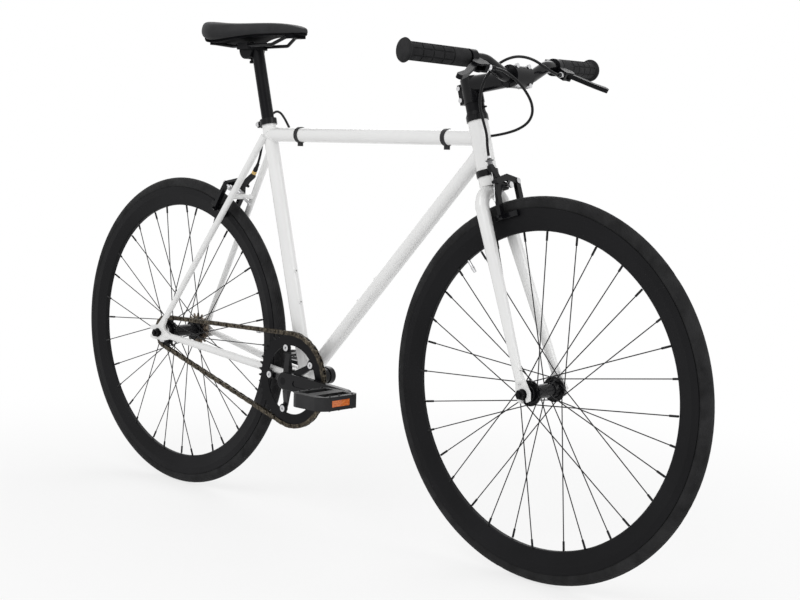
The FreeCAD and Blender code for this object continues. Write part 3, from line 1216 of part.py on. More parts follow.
def grip_frame():
    """A frame at the left end of the bar: Y outboard along it, X forward and down to the lever."""
    knee, end = bar_points()[2:]
    out = (end - knee).normalize()
    pitch = math.radians(LEVER_PITCH)
    forward = V(math.cos(pitch), 0, -math.sin(pitch))
    forward = (forward - out * forward.dot(out)).normalize()
    return end, facing(end, forward, out, forward.cross(out))


def handlebar():
    left = bar_points()
    right = [V(p.x, -p.y, p.z) for p in reversed(left)]
    points = right[:-1] + left[1:]
    outside, line, _ = swept(points, BAR_RADIUS, BAR_BEND_RADIUS)
    inside = swept(points, BAR_RADIUS - BAR_WALL, BAR_BEND_RADIUS)[0]
    sleeve_half = V(0, BAR_CLAMP_WIDTH / 2 + 2, 0)
    sleeve = rod(BAR_CENTRE - sleeve_half, BAR_CENTRE + sleeve_half, BAR_CLAMP_RADIUS)
    add("handlebar", outside.fuse(sleeve).removeSplitter().cut(inside))


def grips():
    end, frame = grip_frame()
    inner = BAR_RADIUS + SLIP_FIT
    plug = GRIP_FLANGE_WIDTH
    body = turned([(0, WELD_GAP), (inner, WELD_GAP), (inner, -GRIP_LENGTH),
                   (GRIP_RADIUS - 1.2, -GRIP_LENGTH),
                   (GRIP_RADIUS, -GRIP_LENGTH + 2), (GRIP_RADIUS, -3), (GRIP_FLANGE_RADIUS - 1, -1),
                   (GRIP_FLANGE_RADIUS, 1), (GRIP_FLANGE_RADIUS - 1, plug - 2),
                   (GRIP_FLANGE_RADIUS - 4, plug - 1), (0, plug - 1)])
    low = GRIP_RADIUS - GRIP_GROOVE_DEPTH
    cuts = []
    for row in range(1, GRIP_PAD_ROWS + 1):
        middle = -5 - GRIP_PAD_LENGTH * row
        cuts.append(ring(low, GRIP_RADIUS + 1, middle - GRIP_GROOVE_WIDTH / 2,
                         middle + GRIP_GROOVE_WIDTH / 2))
    groove = box(V(low, -5 - GRIP_PAD_LENGTH * GRIP_PAD_ROWS, -GRIP_GROOVE_WIDTH / 2),
                 V(GRIP_RADIUS + 1, -8, GRIP_GROOVE_WIDTH / 2))
    cuts += [spun(groove, 360 / GRIP_PAD_COLUMNS * number) for number in range(GRIP_PAD_COLUMNS)]
    grip = placed(body.cut(cuts), frame)
    add("grips", mirrored(grip), grip)


# Brake levers
def lever_origin():
    """The middle of the lever clamp, along the grip frame's Y."""
    return -GRIP_LENGTH - LEVER_GAP - LEVER_CLAMP_WIDTH / 2


def levers():
    end, frame = grip_frame()
    middle = lever_origin()
    half = LEVER_CLAMP_WIDTH / 2
    outer = BAR_RADIUS + LEVER_CLAMP_WALL
    bore = rod(V(0, middle - 30, 0), V(0, middle + 30, 0), BAR_RADIUS + SLIP_FIT)
    band = rod(V(0, middle - half, 0), V(0, middle + half, 0), outer)
    pivot = V(LEVER_PIVOT_FORWARD, middle + LEVER_PIVOT_OUT, 0)
    tall = LEVER_BODY_HEIGHT / 2
    body = layer([(8, middle - half), (LEVER_PIVOT_FORWARD - 4, middle - 16),
                  (LEVER_PIVOT_FORWARD + 8, middle - 16),
                  (LEVER_PIVOT_FORWARD + 8, middle - 2),
                  ((pivot.x + 7, pivot.y + 4), (pivot.x, pivot.y + 8)),
                  (outer + 2, middle + half + 2), (8, middle + half)], -tall, tall)
    room = LEVER_THICKNESS / 2 + CLEARANCE
    swing = box(V(outer + 1.5, middle - 9, -room), V(90, middle + 60, room))
    barrel = rod(V(LEVER_PIVOT_FORWARD + 2, middle - 15, 0),
                 V(LEVER_PIVOT_FORWARD + 2, middle - 15 - BARREL_LENGTH, 0), BARREL_RADIUS)
    pin = rod(V(pivot.x, pivot.y, -tall), V(pivot.x, pivot.y, tall), LEVER_PIVOT_RADIUS)
    bolt_lug = box(V(-outer - 5, middle - half, -5), V(-BAR_RADIUS - 1, middle + half, 5))
    bracket = fused([fused([band, body, bolt_lug]).cut([bore, swing]), barrel, pin])
    bracket = placed(bracket, frame)
    add("lever_brackets", mirrored(bracket), bracket)

    rest = math.radians(LEVER_REST_ANGLE)

    def along(distance, side):
        return (pivot.x + distance * math.sin(rest) + side * math.cos(rest),
                pivot.y + distance * math.cos(rest) - side * math.sin(rest))

    thin = LEVER_THICKNESS / 2
    root = layer(stadium(along(0, 0), along(22, 1), LEVER_WIDTH / 2), -thin, thin)
    reach = layer(stadium(along(22, 1), along(56, 4), LEVER_WIDTH / 2, LEVER_WIDTH / 2 - 1), -thin, thin)
    hook = layer(stadium(along(56, 4), along(LEVER_LENGTH, 1), LEVER_WIDTH / 2 - 1, LEVER_WIDTH / 2), -thin,
                 thin)
    hole = rod(V(pivot.x, pivot.y, -20), V(pivot.x, pivot.y, 20), LEVER_PIVOT_RADIUS + RUNNING_FIT)
    blade = placed(fused([root, reach, hook]).cut(hole), frame)
    add("left_lever", blade)
    add("right_lever", mirrored(blade))


# Rim brakes: x is across the wheel, y away from the hub, z out along the centre bolt
def brake_levels():
    bracket = BRAKE_SPACER + BRAKE_BRACKET
    first = bracket + CLEARANCE
    second = first + BRAKE_ARM_THICKNESS + CLEARANCE
    return bracket, first, second, second + BRAKE_ARM_THICKNESS


def brake_fixed():
    """Centre bolt with its spacer and bracket, and the side pivot pin."""
    bracket, first, second, top = brake_levels()
    mount = 34.0
    bolt = Part.makeCylinder(BRAKE_BOLT_RADIUS, mount + top + CLEARANCE + 1, V(0, 0, -mount))
    spacer = Part.makeCylinder(BRAKE_BOLT_RADIUS + 5, BRAKE_SPACER, V(0, 0, WELD_GAP))
    web = layer(stadium((0, 0), SIDE_PIVOT, BRAKE_ARM_WIDTH / 2), BRAKE_SPACER, bracket)
    pin = Part.makeCylinder(BRAKE_BOLT_RADIUS, top + CLEARANCE + 1 - bracket,
                            V(SIDE_PIVOT[0], SIDE_PIVOT[1], bracket))
    nut = Part.makeCylinder(BRAKE_BOLT_RADIUS + 2.5, 3, V(0, 0, top + CLEARANCE))
    cap = Part.makeCylinder(BRAKE_BOLT_RADIUS + 2.0, 2, V(SIDE_PIVOT[0], SIDE_PIVOT[1], top + CLEARANCE))
    return fused([bolt, spacer, web, pin, nut, cap])


def brake_pad(side, depth):
    """A pad beside the rim with its bolt, for the arm that reaches down to it."""
    inner = RIM_WIDTH / 2 + PAD_GAP
    low = -BRAKE_REACH - PAD_HEIGHT / 2
    shoe = box(V(inner, low, PAD_DEPTH - PAD_LENGTH / 2),
               V(inner + PAD_THICKNESS, low + PAD_HEIGHT, PAD_DEPTH + PAD_LENGTH / 2))
    stud = rod(V(inner + PAD_THICKNESS - 1, -BRAKE_REACH, depth),
               V(inner + PAD_THICKNESS + 16, -BRAKE_REACH, depth), 2.5)
    pad = fused([shoe.makeFillet(1.2, [e for e in shoe.Edges
                                       if abs(e.CenterOfMass.x - inner - PAD_THICKNESS) < 1e-3]), stud])
    return pad if side > 0 else pad.mirror(V(0, 0, 0), V(1, 0, 0))


def brake_arms():
    bracket, first, second, top = brake_levels()
    half = BRAKE_ARM_WIDTH / 2
    out = RIM_WIDTH / 2 + PAD_GAP + PAD_THICKNESS + half + 0.4
    pivot_bore = Part.makeCylinder(BRAKE_BOLT_RADIUS + RUNNING_FIT, 90, V(0, 0, -30))
    side_bore = Part.makeCylinder(BRAKE_BOLT_RADIUS + RUNNING_FIT, 90, V(SIDE_PIVOT[0], SIDE_PIVOT[1], -30))
    side_nut = Part.makeCylinder(BRAKE_BOLT_RADIUS + 3, 90, V(SIDE_PIVOT[0], SIDE_PIVOT[1], -30))
    centre = bars([(-CABLE_SIDE, ADJUSTER_HEIGHT), (-14, 10), (-out, -16), (-out, -BRAKE_REACH)],
                  half, first, first + BRAKE_ARM_THICKNESS)
    centre = fused([centre, layer(stadium((-14, 6), (0, 0), half + 1), first, first + BRAKE_ARM_THICKNESS)])
    level = first + BRAKE_ARM_THICKNESS / 2
    stop = rod(V(-CABLE_SIDE, ADJUSTER_HEIGHT, level),
               V(-CABLE_SIDE, ADJUSTER_HEIGHT + ADJUSTER_LENGTH, level), BARREL_RADIUS)
    wire_way = rod(V(-CABLE_SIDE, -2, level), V(-CABLE_SIDE, 99, level), 1.0)
    pad = brake_pad(-1, level)
    centre = fused([centre, stop]).cut([pivot_bore, side_nut, wire_way])
    centre = centre.cut(rod(V(-60, -BRAKE_REACH, level), V(0, -BRAKE_REACH, level), 2.5 + SLIP_FIT))

    side = bars([(-CABLE_SIDE, ANCHOR_HEIGHT), (-4, 15), SIDE_PIVOT, (out, -16), (out, -BRAKE_REACH)],
                half, second, second + BRAKE_ARM_THICKNESS)
    centre_clear = Part.makeCylinder(BRAKE_BOLT_RADIUS + 3.2, 90, V(0, 0, -30))
    level_two = second + BRAKE_ARM_THICKNESS / 2
    anchor = Part.makeCylinder(BRAKE_BOLT_RADIUS, second - level + WIRE_RADIUS + 1,
                               V(-CABLE_SIDE, ANCHOR_HEIGHT, level - WIRE_RADIUS - 1))
    side = fused([side, anchor]).cut([side_bore, centre_clear])
    side = side.cut(rod(V(0, -BRAKE_REACH, level_two), V(60, -BRAKE_REACH, level_two), 2.5 + SLIP_FIT))
    return (centre, pad), (side, brake_pad(1, level_two))


def brakes(seat_way):
    front = STEER.multiply(facing(V(BLADE_TOP_RADIUS + WELD_GAP, 0, brake_height()), V(0, 1, 0), V(0, 0, 1),
                                  V(1, 0, 0)))
    across = V(-seat_way.z, 0, seat_way.x)
    rear = facing(brake_centre(seat_way) + across * (BRIDGE_RADIUS + WELD_GAP), V(0, -1, 0), seat_way,
                  across)
    fixed = brake_fixed()
    centre, side = brake_arms()
    for name, frame in (("front", front), ("rear", rear)):
        add(name + "_brake_centre_arm", *[placed(piece, frame) for piece in centre])
        add(name + "_brake_side_arm", *[placed(piece, frame) for piece in side])
    return placed(fixed, front), placed(fixed, rear), front, rear


# Cables
def cable_ends(front, rear):
    """Where each cable enters its lever's barrel and its brake's adjuster, with its direction there."""
    end, frame = grip_frame()
    lever = frame.multVec(V(LEVER_PIVOT_FORWARD + 2, lever_origin() - 15 - BARREL_LENGTH - WELD_GAP, 0))
    inboard = frame.Rotation.multVec(V(0, -1, 0))
    level = brake_levels()[1] + BRAKE_ARM_THICKNESS / 2
    adjuster = V(-CABLE_SIDE, ADJUSTER_HEIGHT + ADJUSTER_LENGTH + WELD_GAP, level)
    anchor = V(-CABLE_SIDE, ANCHOR_HEIGHT + BRAKE_BOLT_RADIUS + WELD_GAP, level)
    wires = [rod(frame.multVec(adjuster), frame.multVec(anchor), WIRE_RADIUS) for frame in (front, rear)]
    return lever, inboard, front.multVec(adjuster), rear.multVec(adjuster), wires


FRONT_CABLE_ROUTE = [V(433, 52, 897), V(425, 28, 908), V(416, 4, 911), V(408, -16, 906), V(398, -32, 895),
                     V(388, -42, 881),
                     V(380, -48, 862), V(376, -50, 840), V(377, -49, 818), V(382, -45, 796),
                     V(386, -39, 774)]
REAR_CABLE_LOOP = [V(441, -52, 876), V(444, -30, 864), V(446, -10, 848), V(445, 8, 830), V(438, 20, 812),
                   V(423, 27, 797), V(401, 29, 786), V(376, 28, 779), V(348, 25.5, 774), V(318, 20.5, 771)]
REAR_CABLE_DROP = [V(-205, 23, 808), V(-228, 27, 819), V(-250, 30, 811), V(-266, 31, 789), V(-276, 31, 758)]


def top_tube_run():
    """The cable's line along the left of the top tube, from ahead of the front clip to past the rear one."""
    side = TUBE_RADIUS + CABLE_RADIUS + CLEARANCE
    low = TOP_TUBE_FRONT.z
    return [V(x, side, low) for x in (CLIP_PLACES[0] + CABLE_RUN_AHEAD, CLIP_PLACES[1] - CABLE_RUN_PAST)]


def cables(front, rear):
    lever, inboard, front_end, rear_end, wires = cable_ends(front, rear)
    front_up = front.Rotation.multVec(V(0, 1, 0))
    rear_up = rear.Rotation.multVec(V(0, 1, 0))
    right_lever = V(lever.x, -lever.y, lever.z)
    outward = V(inboard.x, -inboard.y, inboard.z)
    front_points = [lever, lever + inboard * 16] + FRONT_CABLE_ROUTE
    front_points += [front_end + front_up * 18, front_end]
    rear_points = [right_lever, right_lever + outward * 16] + REAR_CABLE_LOOP
    rear_points += top_tube_run() + REAR_CABLE_DROP
    rear_points += [rear_end + rear_up * 20, rear_end]
    for name, points, core in (("front_brake_cable", front_points, wires[0]),
                               ("rear_brake_cable", rear_points, wires[1])):
        solid, line, radii = swept(points, CABLE_RADIUS)
        share = solid.Volume / (math.pi * CABLE_RADIUS ** 2 * line.Length)
        print(name, "length", round(line.Length), "volume share", round(share, 4), "radii", radii)
        add(name, solid.fuse(core))


def cable_clips():
    side = TUBE_RADIUS + CABLE_RADIUS + CLEARANCE
    clips = []
    for x in CLIP_PLACES:
        centre = V(x, 0, TOP_TUBE_FRONT.z)
        half = V(CLIP_WIDTH / 2, 0, 0)
        low, high = centre - half, centre + half
        cable = V(0, side, 0)
        hug = [rod(low, high, TUBE_RADIUS + CLIP_THICKNESS),
               rod(low + cable, high + cable, CABLE_RADIUS + CLIP_THICKNESS)]
        tail = box(V(low.x, -3.4, centre.z - TUBE_RADIUS - 8), V(high.x, 3.4, centre.z - TUBE_RADIUS))
        holes = [rod(low - half, high + half, TUBE_RADIUS + SLIP_FIT),
                 rod(low - half + cable, high + half + cable, CABLE_RADIUS + SLIP_FIT)]
        split = box(V(low.x - 1, -0.8, centre.z - TUBE_RADIUS - 9), V(high.x + 1, 0.8, centre.z))
        clips.append(fused(hug + [tail]).cut(holes + [split]))
    add("cable_clips", *clips)


# Seatpost and saddle, with lengths along the saddle from the clamp's bolt and heights above the rails
POST_HEAD = seat_point(0, 0, POST_TOP)
SADDLE_X = POST_HEAD.x - CLAMP_SETBACK
RAIL_HEIGHT = POST_HEAD.z + RAIL_RISE
SADDLE_SECTIONS = [
    (-99.0, 40.0, 45.0, 27.0), (-86.0, 66.0, 48.5, 14.0), (-50.0, 74.0, 48.5, 9.0),
    (-10.0, 60.0, 46.5, 15.0),
    (35.0, 41.0, 45.5, 20.5), (85.0, 27.0, 44.0, 21.5), (130.0, 20.5, 39.0, 20.5),
    (156.0, 11.0, 31.0, 21.0),
]
RAIL_LINE = [(-76.0, 13.0, 6.0), (-34.0, 0.0, 0.0), (84.0, 0.0, 0.0), (116.0, -9.0, 14.5),
             (140.0, -15.0, 15.5)]
RAIL_BEND = 14.0
REAR_SOCKET = ((-82.0, 5.0, 3.0), (-63.0, 22.0, 8.6))
FRONT_SOCKET = ((122.0, -21.0, 12.0), (141.0, -4.0, 19.2))


def saddle_point(x, y, z):
    return V(SADDLE_X + x, y, RAIL_HEIGHT + z)


def saddle_cover():
    """The padded cover: a crowned top over sides that draw in to the shell's edge."""
    wires = []
    for x, half, top, low in SADDLE_SECTIONS:
        edge = low + 0.34 * (top - low)
        base = SHELL_INSET * half
        points = [(-base, low), (base, low), ((half * 0.985, low + 0.14 * (top - low)), (half, edge)),
                  ((half * 0.93, top - 0.22 * (top - low)), (half * 0.70, top - 0.05 * (top - low))),
                  ((0, top), (-half * 0.70, top - 0.05 * (top - low))),
                  ((-half * 0.93, top - 0.22 * (top - low)), (-half, edge)),
                  ((-half * 0.985, low + 0.14 * (top - low)), (-base, low))]
        wires.append(wire(points, lambda y, z, x=x: saddle_point(x, y, z)))
    return Part.makeLoft(wires, True, False)


def saddle_shell():
    wires = []
    for x, half, top, low in SADDLE_SECTIONS:
        base = SHELL_INSET * half - 0.5
        points = [(-base, low - SHELL_GAP), (base, low - SHELL_GAP),
                  (base - 1.5, low - SHELL_THICKNESS), (1.5 - base, low - SHELL_THICKNESS)]
        wires.append(wire(points, lambda y, z, x=x: saddle_point(x, y, z)))
    return Part.makeLoft(wires, True, False)


def saddle():
    side = RAIL_SPACING / 2
    height = RAIL_HEIGHT
    line = [saddle_point(x, side + y, z) for x, y, z in RAIL_LINE]
    rail = swept(line, RAIL_RADIUS, RAIL_BEND)[0]
    keep = swept(line, RAIL_RADIUS + SLIP_FIT, RAIL_BEND)[0]
    cover = saddle_cover()
    shell = saddle_shell()
    sockets = []
    for low_corner, high_corner in (REAR_SOCKET, FRONT_SOCKET):
        sockets.append(box(*[saddle_point(x, side + y, z) for x, y, z in (low_corner, high_corner)]))
    sockets += [mirrored(piece) for piece in sockets]
    shell = fused([shell] + sockets).cut([keep, mirrored(keep)])
    add("saddle_cover", cover)
    add("saddle_shell", max(shell.Solids, key=lambda solid: solid.Volume))
    add("saddle_rails", mirrored(rail), rail)

    half = JAW_LENGTH / 2
    wide = JAW_WIDTH / 2
    gap = 0.4
    grooves = [rod(V(SADDLE_X - 40, y, height), V(SADDLE_X + 40, y, height), RAIL_RADIUS + SLIP_FIT)
               for y in (-side, side)]
    bolt_low = height - JAW_HEIGHT - POST_HEAD_RADIUS - 6
    bolt_way = rod(V(SADDLE_X, 0, bolt_low - 9), V(SADDLE_X, 0, height + 30), CLAMP_BOLT_RADIUS + SLIP_FIT)
    lower = box(V(SADDLE_X - half, -wide, height - JAW_HEIGHT), V(SADDLE_X + half, wide, height - gap))
    upper = box(V(SADDLE_X - half + 5, -wide, height + gap),
                V(SADDLE_X + half - 5, wide, height + JAW_HEIGHT - 1))
    lower = lower.makeFillet(5.0, [e for e in lower.Edges
                                   if abs(e.CenterOfMass.z - height + JAW_HEIGHT / 2 + gap / 2) < 1e-3])
    bolt = fused([rod(V(SADDLE_X, 0, bolt_low), V(SADDLE_X, 0, height + JAW_HEIGHT + 1.5),
                      CLAMP_BOLT_RADIUS),
                  rod(V(SADDLE_X, 0, height + JAW_HEIGHT - 0.98), V(SADDLE_X, 0, height + JAW_HEIGHT + 2.5),
                      CLAMP_BOLT_RADIUS + 2),
                  rod(V(SADDLE_X, 0, bolt_low - 2), V(SADDLE_X, 0, bolt_low + 3), CLAMP_BOLT_RADIUS + 1.8)])
    add("saddle_clamp", lower.cut(grooves + [bolt_way]), upper.cut(grooves + [bolt_way]), bolt)

    head_z = height - JAW_HEIGHT - WELD_GAP
    head_side = V(0, POST_HEAD_WIDTH / 2, 0)
    centre = V(SADDLE_X, 0, head_z)
    head = rod(centre - head_side, centre + head_side, POST_HEAD_RADIUS)
    above = box(V(SADDLE_X - 60, -60, head_z), V(SADDLE_X + 60, 60, head_z + 90))
    low = SEAT_TUBE_LENGTH - POST_INSERT
    post = rod(seat_point(0, 0, low), seat_point(0, 0, POST_TOP + 30), SEATPOST_RADIUS)
    hollow = rod(seat_point(0, 0, low - 1), seat_point(0, 0, POST_TOP), SEATPOST_RADIUS - POST_WALL)
    body = fused([post, head]).cut([above, hollow, bolt_way,
                                    rod(V(SADDLE_X, 0, bolt_low - 9), V(SADDLE_X, 0,
                                                                        bolt_low + 3 + SLIP_FIT),
                                        CLAMP_BOLT_RADIUS + 2.4)])
    add("seatpost", max(body.Solids, key=lambda solid: solid.Volume))


def build():
    seat_keep, shell_keep = frame_tubes()
    seat_way = stays(seat_keep, shell_keep)
    headset()
    collar_bolt = seat_collar()
    bottom_bracket()
    cranks()
    pedals()
    chain()
    rear_sprockets()
    wheel("front", FRONT_AXLE, FRONT_VALVE_ANGLE, FRONT_FLANGE_SPACING, FRONT_HUB_END, FRONT_AXLE_RADIUS,
          False)
    wheel("rear", REAR_AXLE, REAR_VALVE_ANGLE, REAR_FLANGE_SPACING, REAR_HUB_END, REAR_AXLE_RADIUS, True)
    add("front_axle", *[moved(piece, FRONT_AXLE)
                        for piece in axle(FRONT_AXLE_RADIUS, FRONT_HUB_END, FRONT_HUB_WIDTH,
                                          FORK_END_THICKNESS)])
    add("rear_axle", *[moved(piece, REAR_AXLE)
                       for piece in axle(REAR_AXLE_RADIUS, REAR_HUB_END, REAR_HUB_WIDTH,
                                         DROPOUT_THICKNESS)])
    fork()
    stem_bolts = stem()
    headset_spacers()
    handlebar()
    grips()
    levers()
    front_fixed, rear_fixed, front, rear = brakes(seat_way)
    add("frame_bolts", collar_bolt, rear_fixed)
    add("front_end_bolts", front_fixed, *stem_bolts)
    cables(front, rear)
    cable_clips()
    saddle()
    os.makedirs("parts", exist_ok=True)
    for name, shape in NODES.items():
        valid = shape.isValid() and all(solid.isClosed() for solid in shape.Solids)
        if not valid or not shape.Solids:
            print("check", name, shape.ShapeType, len(shape.Solids))
        shape.exportStep("parts/" + name + ".step")
    print(len(NODES), "nodes,", sum(len(shape.Solids) for shape in NODES.values()), "solids")


build()
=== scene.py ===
import math

import bmesh
import bpy
from mathutils import Matrix, Vector


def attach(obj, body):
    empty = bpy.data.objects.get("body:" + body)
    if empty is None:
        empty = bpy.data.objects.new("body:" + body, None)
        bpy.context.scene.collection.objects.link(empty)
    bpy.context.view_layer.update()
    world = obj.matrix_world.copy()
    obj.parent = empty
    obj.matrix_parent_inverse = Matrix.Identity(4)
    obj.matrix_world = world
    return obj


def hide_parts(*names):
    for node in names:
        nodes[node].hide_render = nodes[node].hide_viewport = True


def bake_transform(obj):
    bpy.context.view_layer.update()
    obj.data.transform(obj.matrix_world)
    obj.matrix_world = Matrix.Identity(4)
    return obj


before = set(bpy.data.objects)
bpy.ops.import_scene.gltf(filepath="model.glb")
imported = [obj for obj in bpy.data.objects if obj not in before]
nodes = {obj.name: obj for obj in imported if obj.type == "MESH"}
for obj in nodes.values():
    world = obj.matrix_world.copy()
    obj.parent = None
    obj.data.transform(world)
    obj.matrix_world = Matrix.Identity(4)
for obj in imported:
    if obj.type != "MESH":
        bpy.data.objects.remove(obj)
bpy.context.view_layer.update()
scene = bpy.context.scene

# Sizes shared with the solids, in metres
FRONT_AXLE = Vector((0.4975, 0, 0.3365))
REAR_AXLE = Vector((-0.4975, 0, 0.3365))
TYRE_RADIUS = 0.3365
BB = Vector((-0.09279, 0, 0.2830))
TOP_TUBE_REAR = Vector((-0.21855, 0, 0.76928))
TOP_TUBE_FRONT = Vector((0.34011, 0, 0.76928))
DOWN_TUBE_FRONT = Vector((0.34673, 0, 0.74621))
STEER_BASE = Vector((0.46674, 0, 0.32768))
STEER_UP = Vector((-0.275637, 0, 0.961262))
SEAT_UP = Vector((-0.25038, 0, 0.968148))
DRIVE_FORWARD = Vector((0.991375, 0, -0.131054))
TUBE_RADIUS = 0.0143
HEAD_TUBE_RADIUS = 0.0180
BB_SHELL_RADIUS = 0.0200
CHAIN_STAY_RADIUS = 0.0090
CHAIN_STAY_OFFSET = 0.0240
CABLE_RADIUS = 0.0025
CABLE_SIDE = 0.0171
WIRE_RADIUS = 0.0007
WIRE_LENGTH = 0.039
LEVER_EXIT = Vector((0.436565, 0.093992, 0.884123))
LEVER_INBOARD = Vector((0.160758, -0.986601, -0.027857))
FRONT_ADJUSTER = Vector((0.38537, -0.030, 0.733421))
REAR_ADJUSTER = Vector((-0.296607, 0.030, 0.69594))
REAR_BRAKE_UP = Vector((0.543493, 0, 0.839414))
RIGHT_PEDAL = Vector((0.07702, -0.116, 0.27499))
LEFT_PEDAL = Vector((-0.26260, 0.116, 0.29101))
PEDAL_HALF = 0.046

# Camera at the photograph's place
CAMERA_AZIMUTH = math.radians(42.885)
CAMERA_ELEVATION = math.radians(5.817)
CAMERA_ROLL = math.radians(1.734)
CAMERA_TARGET = Vector((0.15639, 0, 0.46374))
CAMERA_DISTANCE = 2.63903
SENSOR_WIDTH = 36.0
LENS_LENGTH = 63.09
VIEW_END = 60.0

# Floor and light: the floor glows to the eye, less so near the bicycle, where its shadow is seen
FLOOR_HALF = 30.0
FLOOR_COLOUR = (0.93, 0.93, 0.93, 1)
NEAR_GLOW = 0.72
GLOW_START = 0.6
GLOW_FULL = 1.7
SKY_COLOUR = (1, 1, 1, 1)
SKY_LEVEL = 0.55
SKY_SEEN = 0.45
# Rows are (name, place, aim, width, height, power)
SOFTBOXES = [
    ("key", (0.2, -2.6, 2.9), (0, 0, 0.45), 2.4, 2.4, 38),
    ("side", (3.0, 0.6, 1.9), (0.2, 0, 0.45), 1.8, 2.2, 24),
    ("back", (-1.6, 2.4, 2.4), (0, 0, 0.5), 2.2, 2.2, 26),
]

# Rounded edges of the cast and moulded nodes
EDGE_ROUND = 0.0006
EDGE_STEPS = 2
EDGE_ANGLE = math.radians(40)

# Weld beads
WELD_SIZE = 0.0017
STAY_WELD_SIZE = 0.0014
WELD_STEPS = 96
WELD_SIDES = 10
WELD_RIPPLE = 0.10
SEAT_WELD_START = 0.2
STAY_WELD_START = 0.08

# Tread of the tyres: ribs all round, their slant, and where the tread begins and ends
RIB_PITCH = 210.0
RIB_SLANT = 1800.0
RIB_FLOOR = -0.2
CROWN_HALF = 0.0030
SHOULDER_HALF = 0.0042
TREAD_LOW = TYRE_RADIUS - 0.0095
TREAD_HIGH = TYRE_RADIUS - 0.0075
WALL_RINGS = 4200.0

# Saddle cover: rows are (x, half width, top, lower edge)
SADDLE_ROWS = [
    (-0.3850, 0.0330, 0.9985, 0.9850), (-0.3810, 0.0480, 1.0005, 0.9760), (-0.3680, 0.0650, 1.0005, 0.9650),
    (-0.3490, 0.0725, 0.9985, 0.9590), (-0.3300, 0.0740, 0.9965, 0.9572), (-0.3100, 0.0690, 0.9948, 0.9595),
    (-0.2900, 0.0600, 0.9938, 0.9632), (-0.2680, 0.0500, 0.9934, 0.9664), (-0.2450, 0.0410, 0.9933, 0.9686),
    (-0.2200, 0.0330, 0.9930, 0.9693), (-0.1950, 0.0270, 0.9920, 0.9696), (-0.1720, 0.0232, 0.9900, 0.9692),
    (-0.1500, 0.0205, 0.9870, 0.9686), (-0.1350, 0.0172, 0.9832, 0.9684), (-0.1270, 0.0130, 0.9800, 0.9690),
    (-0.1242, 0.0080, 0.9775, 0.9705),
]
# One side of a row, from below to the top, as shares of its half width and its height
SADDLE_SIDE = [
    (0.40, 0.00), (0.80, 0.00), (0.90, 0.03), (0.965, 0.12), (1.00, 0.30), (0.985, 0.52), (0.93, 0.76),
    (0.84, 0.885), (0.70, 0.952), (0.45, 0.985), (0.20, 0.992),
]
SADDLE_BOTTOM = (0.0, 0.0)
SADDLE_TOP = (0.0, 0.985)
SADDLE_SMOOTHING = 2

# Cable routes between the levers and the brakes
FRONT_LOOP = [
    (0.433, 0.052, 0.897), (0.425, 0.028, 0.908), (0.416, 0.004, 0.911), (0.408, -0.016, 0.906),
    (0.398, -0.032, 0.895), (0.388, -0.042, 0.881), (0.380, -0.048, 0.862), (0.376, -0.050, 0.840),
    (0.377, -0.049, 0.818), (0.382, -0.045, 0.796), (0.386, -0.039, 0.774),
]
REAR_LOOP = [
    (0.441, -0.052, 0.876), (0.444, -0.030, 0.864), (0.446, -0.010, 0.848), (0.445, 0.008, 0.830),
    (0.438, 0.020, 0.812), (0.423, 0.027, 0.797), (0.401, 0.029, 0.786), (0.376, 0.028, 0.779),
    (0.348, 0.0255, 0.774), (0.318, 0.0205, 0.771),
]
REAR_RUN = [(x, CABLE_SIDE, TOP_TUBE_FRONT.z) for x in (0.291, 0.276, -0.155, -0.170)]
REAR_DROP = [
    (-0.205, 0.023, 0.808), (-0.228, 0.027, 0.819), (-0.250, 0.030, 0.811), (-0.266, 0.031, 0.789),
    (-0.276, 0.031, 0.758),
]
# Straight leads of the sleeves where they leave the levers and reach the brakes
LEVER_LEAD = 0.016
FRONT_BRAKE_LEAD = 0.018
REAR_BRAKE_LEAD = 0.020
# Two points along each sleeve's route, at the ends of a stretch of it
FRONT_BEND = (FRONT_ADJUSTER + STEER_UP * 0.010, FRONT_ADJUSTER + STEER_UP * 0.070)
REAR_BEND = ((0.330, 0.020, 0.772), (0.440, -0.050, 0.876))
SLEEVE_STEPS = 8
SLEEVE_SIDES = 3

# Turned pieces on the cables: rows are (along, radius, knurled)
BARREL = [(0.0, 0.0042, False), (0.0006, 0.0051, True), (0.0062, 0.0051, True), (0.0068, 0.0042, False)]
DIAL = [
    (0.0, 0.0042, False), (0.0058, 0.0045, False), (0.0062, 0.0070, True), (0.0080, 0.0074, True),
    (0.0084, 0.0050, False),
]
NECK = [(0.0, 0.0030, False), (0.0004, 0.0036, False), (0.0076, 0.0036, False), (0.0080, 0.0028, False)]
BOOT = [
    (0.0, 0.0046, False), (0.0060, 0.0046, False), (0.0100, 0.0037, False), (0.0180, 0.0032, False),
    (0.0184, 0.0026, False),
]
WIRE = [(0.0, WIRE_RADIUS, False), (WIRE_LENGTH, WIRE_RADIUS, False)]
WIRE_END = [
    (0.0, WIRE_RADIUS, False), (0.0245, WIRE_RADIUS, False), (0.0247, 0.0013, False),
    (0.0320, 0.0013, False), (0.0325, 0.0009, False),
]
WIRE_END_DROP = WIRE_LENGTH + 0.0065
WIRE_END_LEAN = Vector((0, -0.2, 0))
LEVER_BARREL_BACK = 0.0095
LEVER_FERRULE_BACK = 0.001
BRAKE_ADJUSTER_DROP = 0.0110
BRAKE_COLLAR_DROP = 0.0035
KNURL_TEETH = 18
KNURL_DEPTH = 0.0004
WIRE_TEETH = 6
TURNED_EDGE = math.radians(28)

# Amber lenses over the pedals' reflector blocks
LENS_SIZE = (0.0009, 0.0452, 0.0122)
LENS_EDGE = 0.0003
LENS_EDGE_STEPS = 2
LENS_SINK = 0.0004


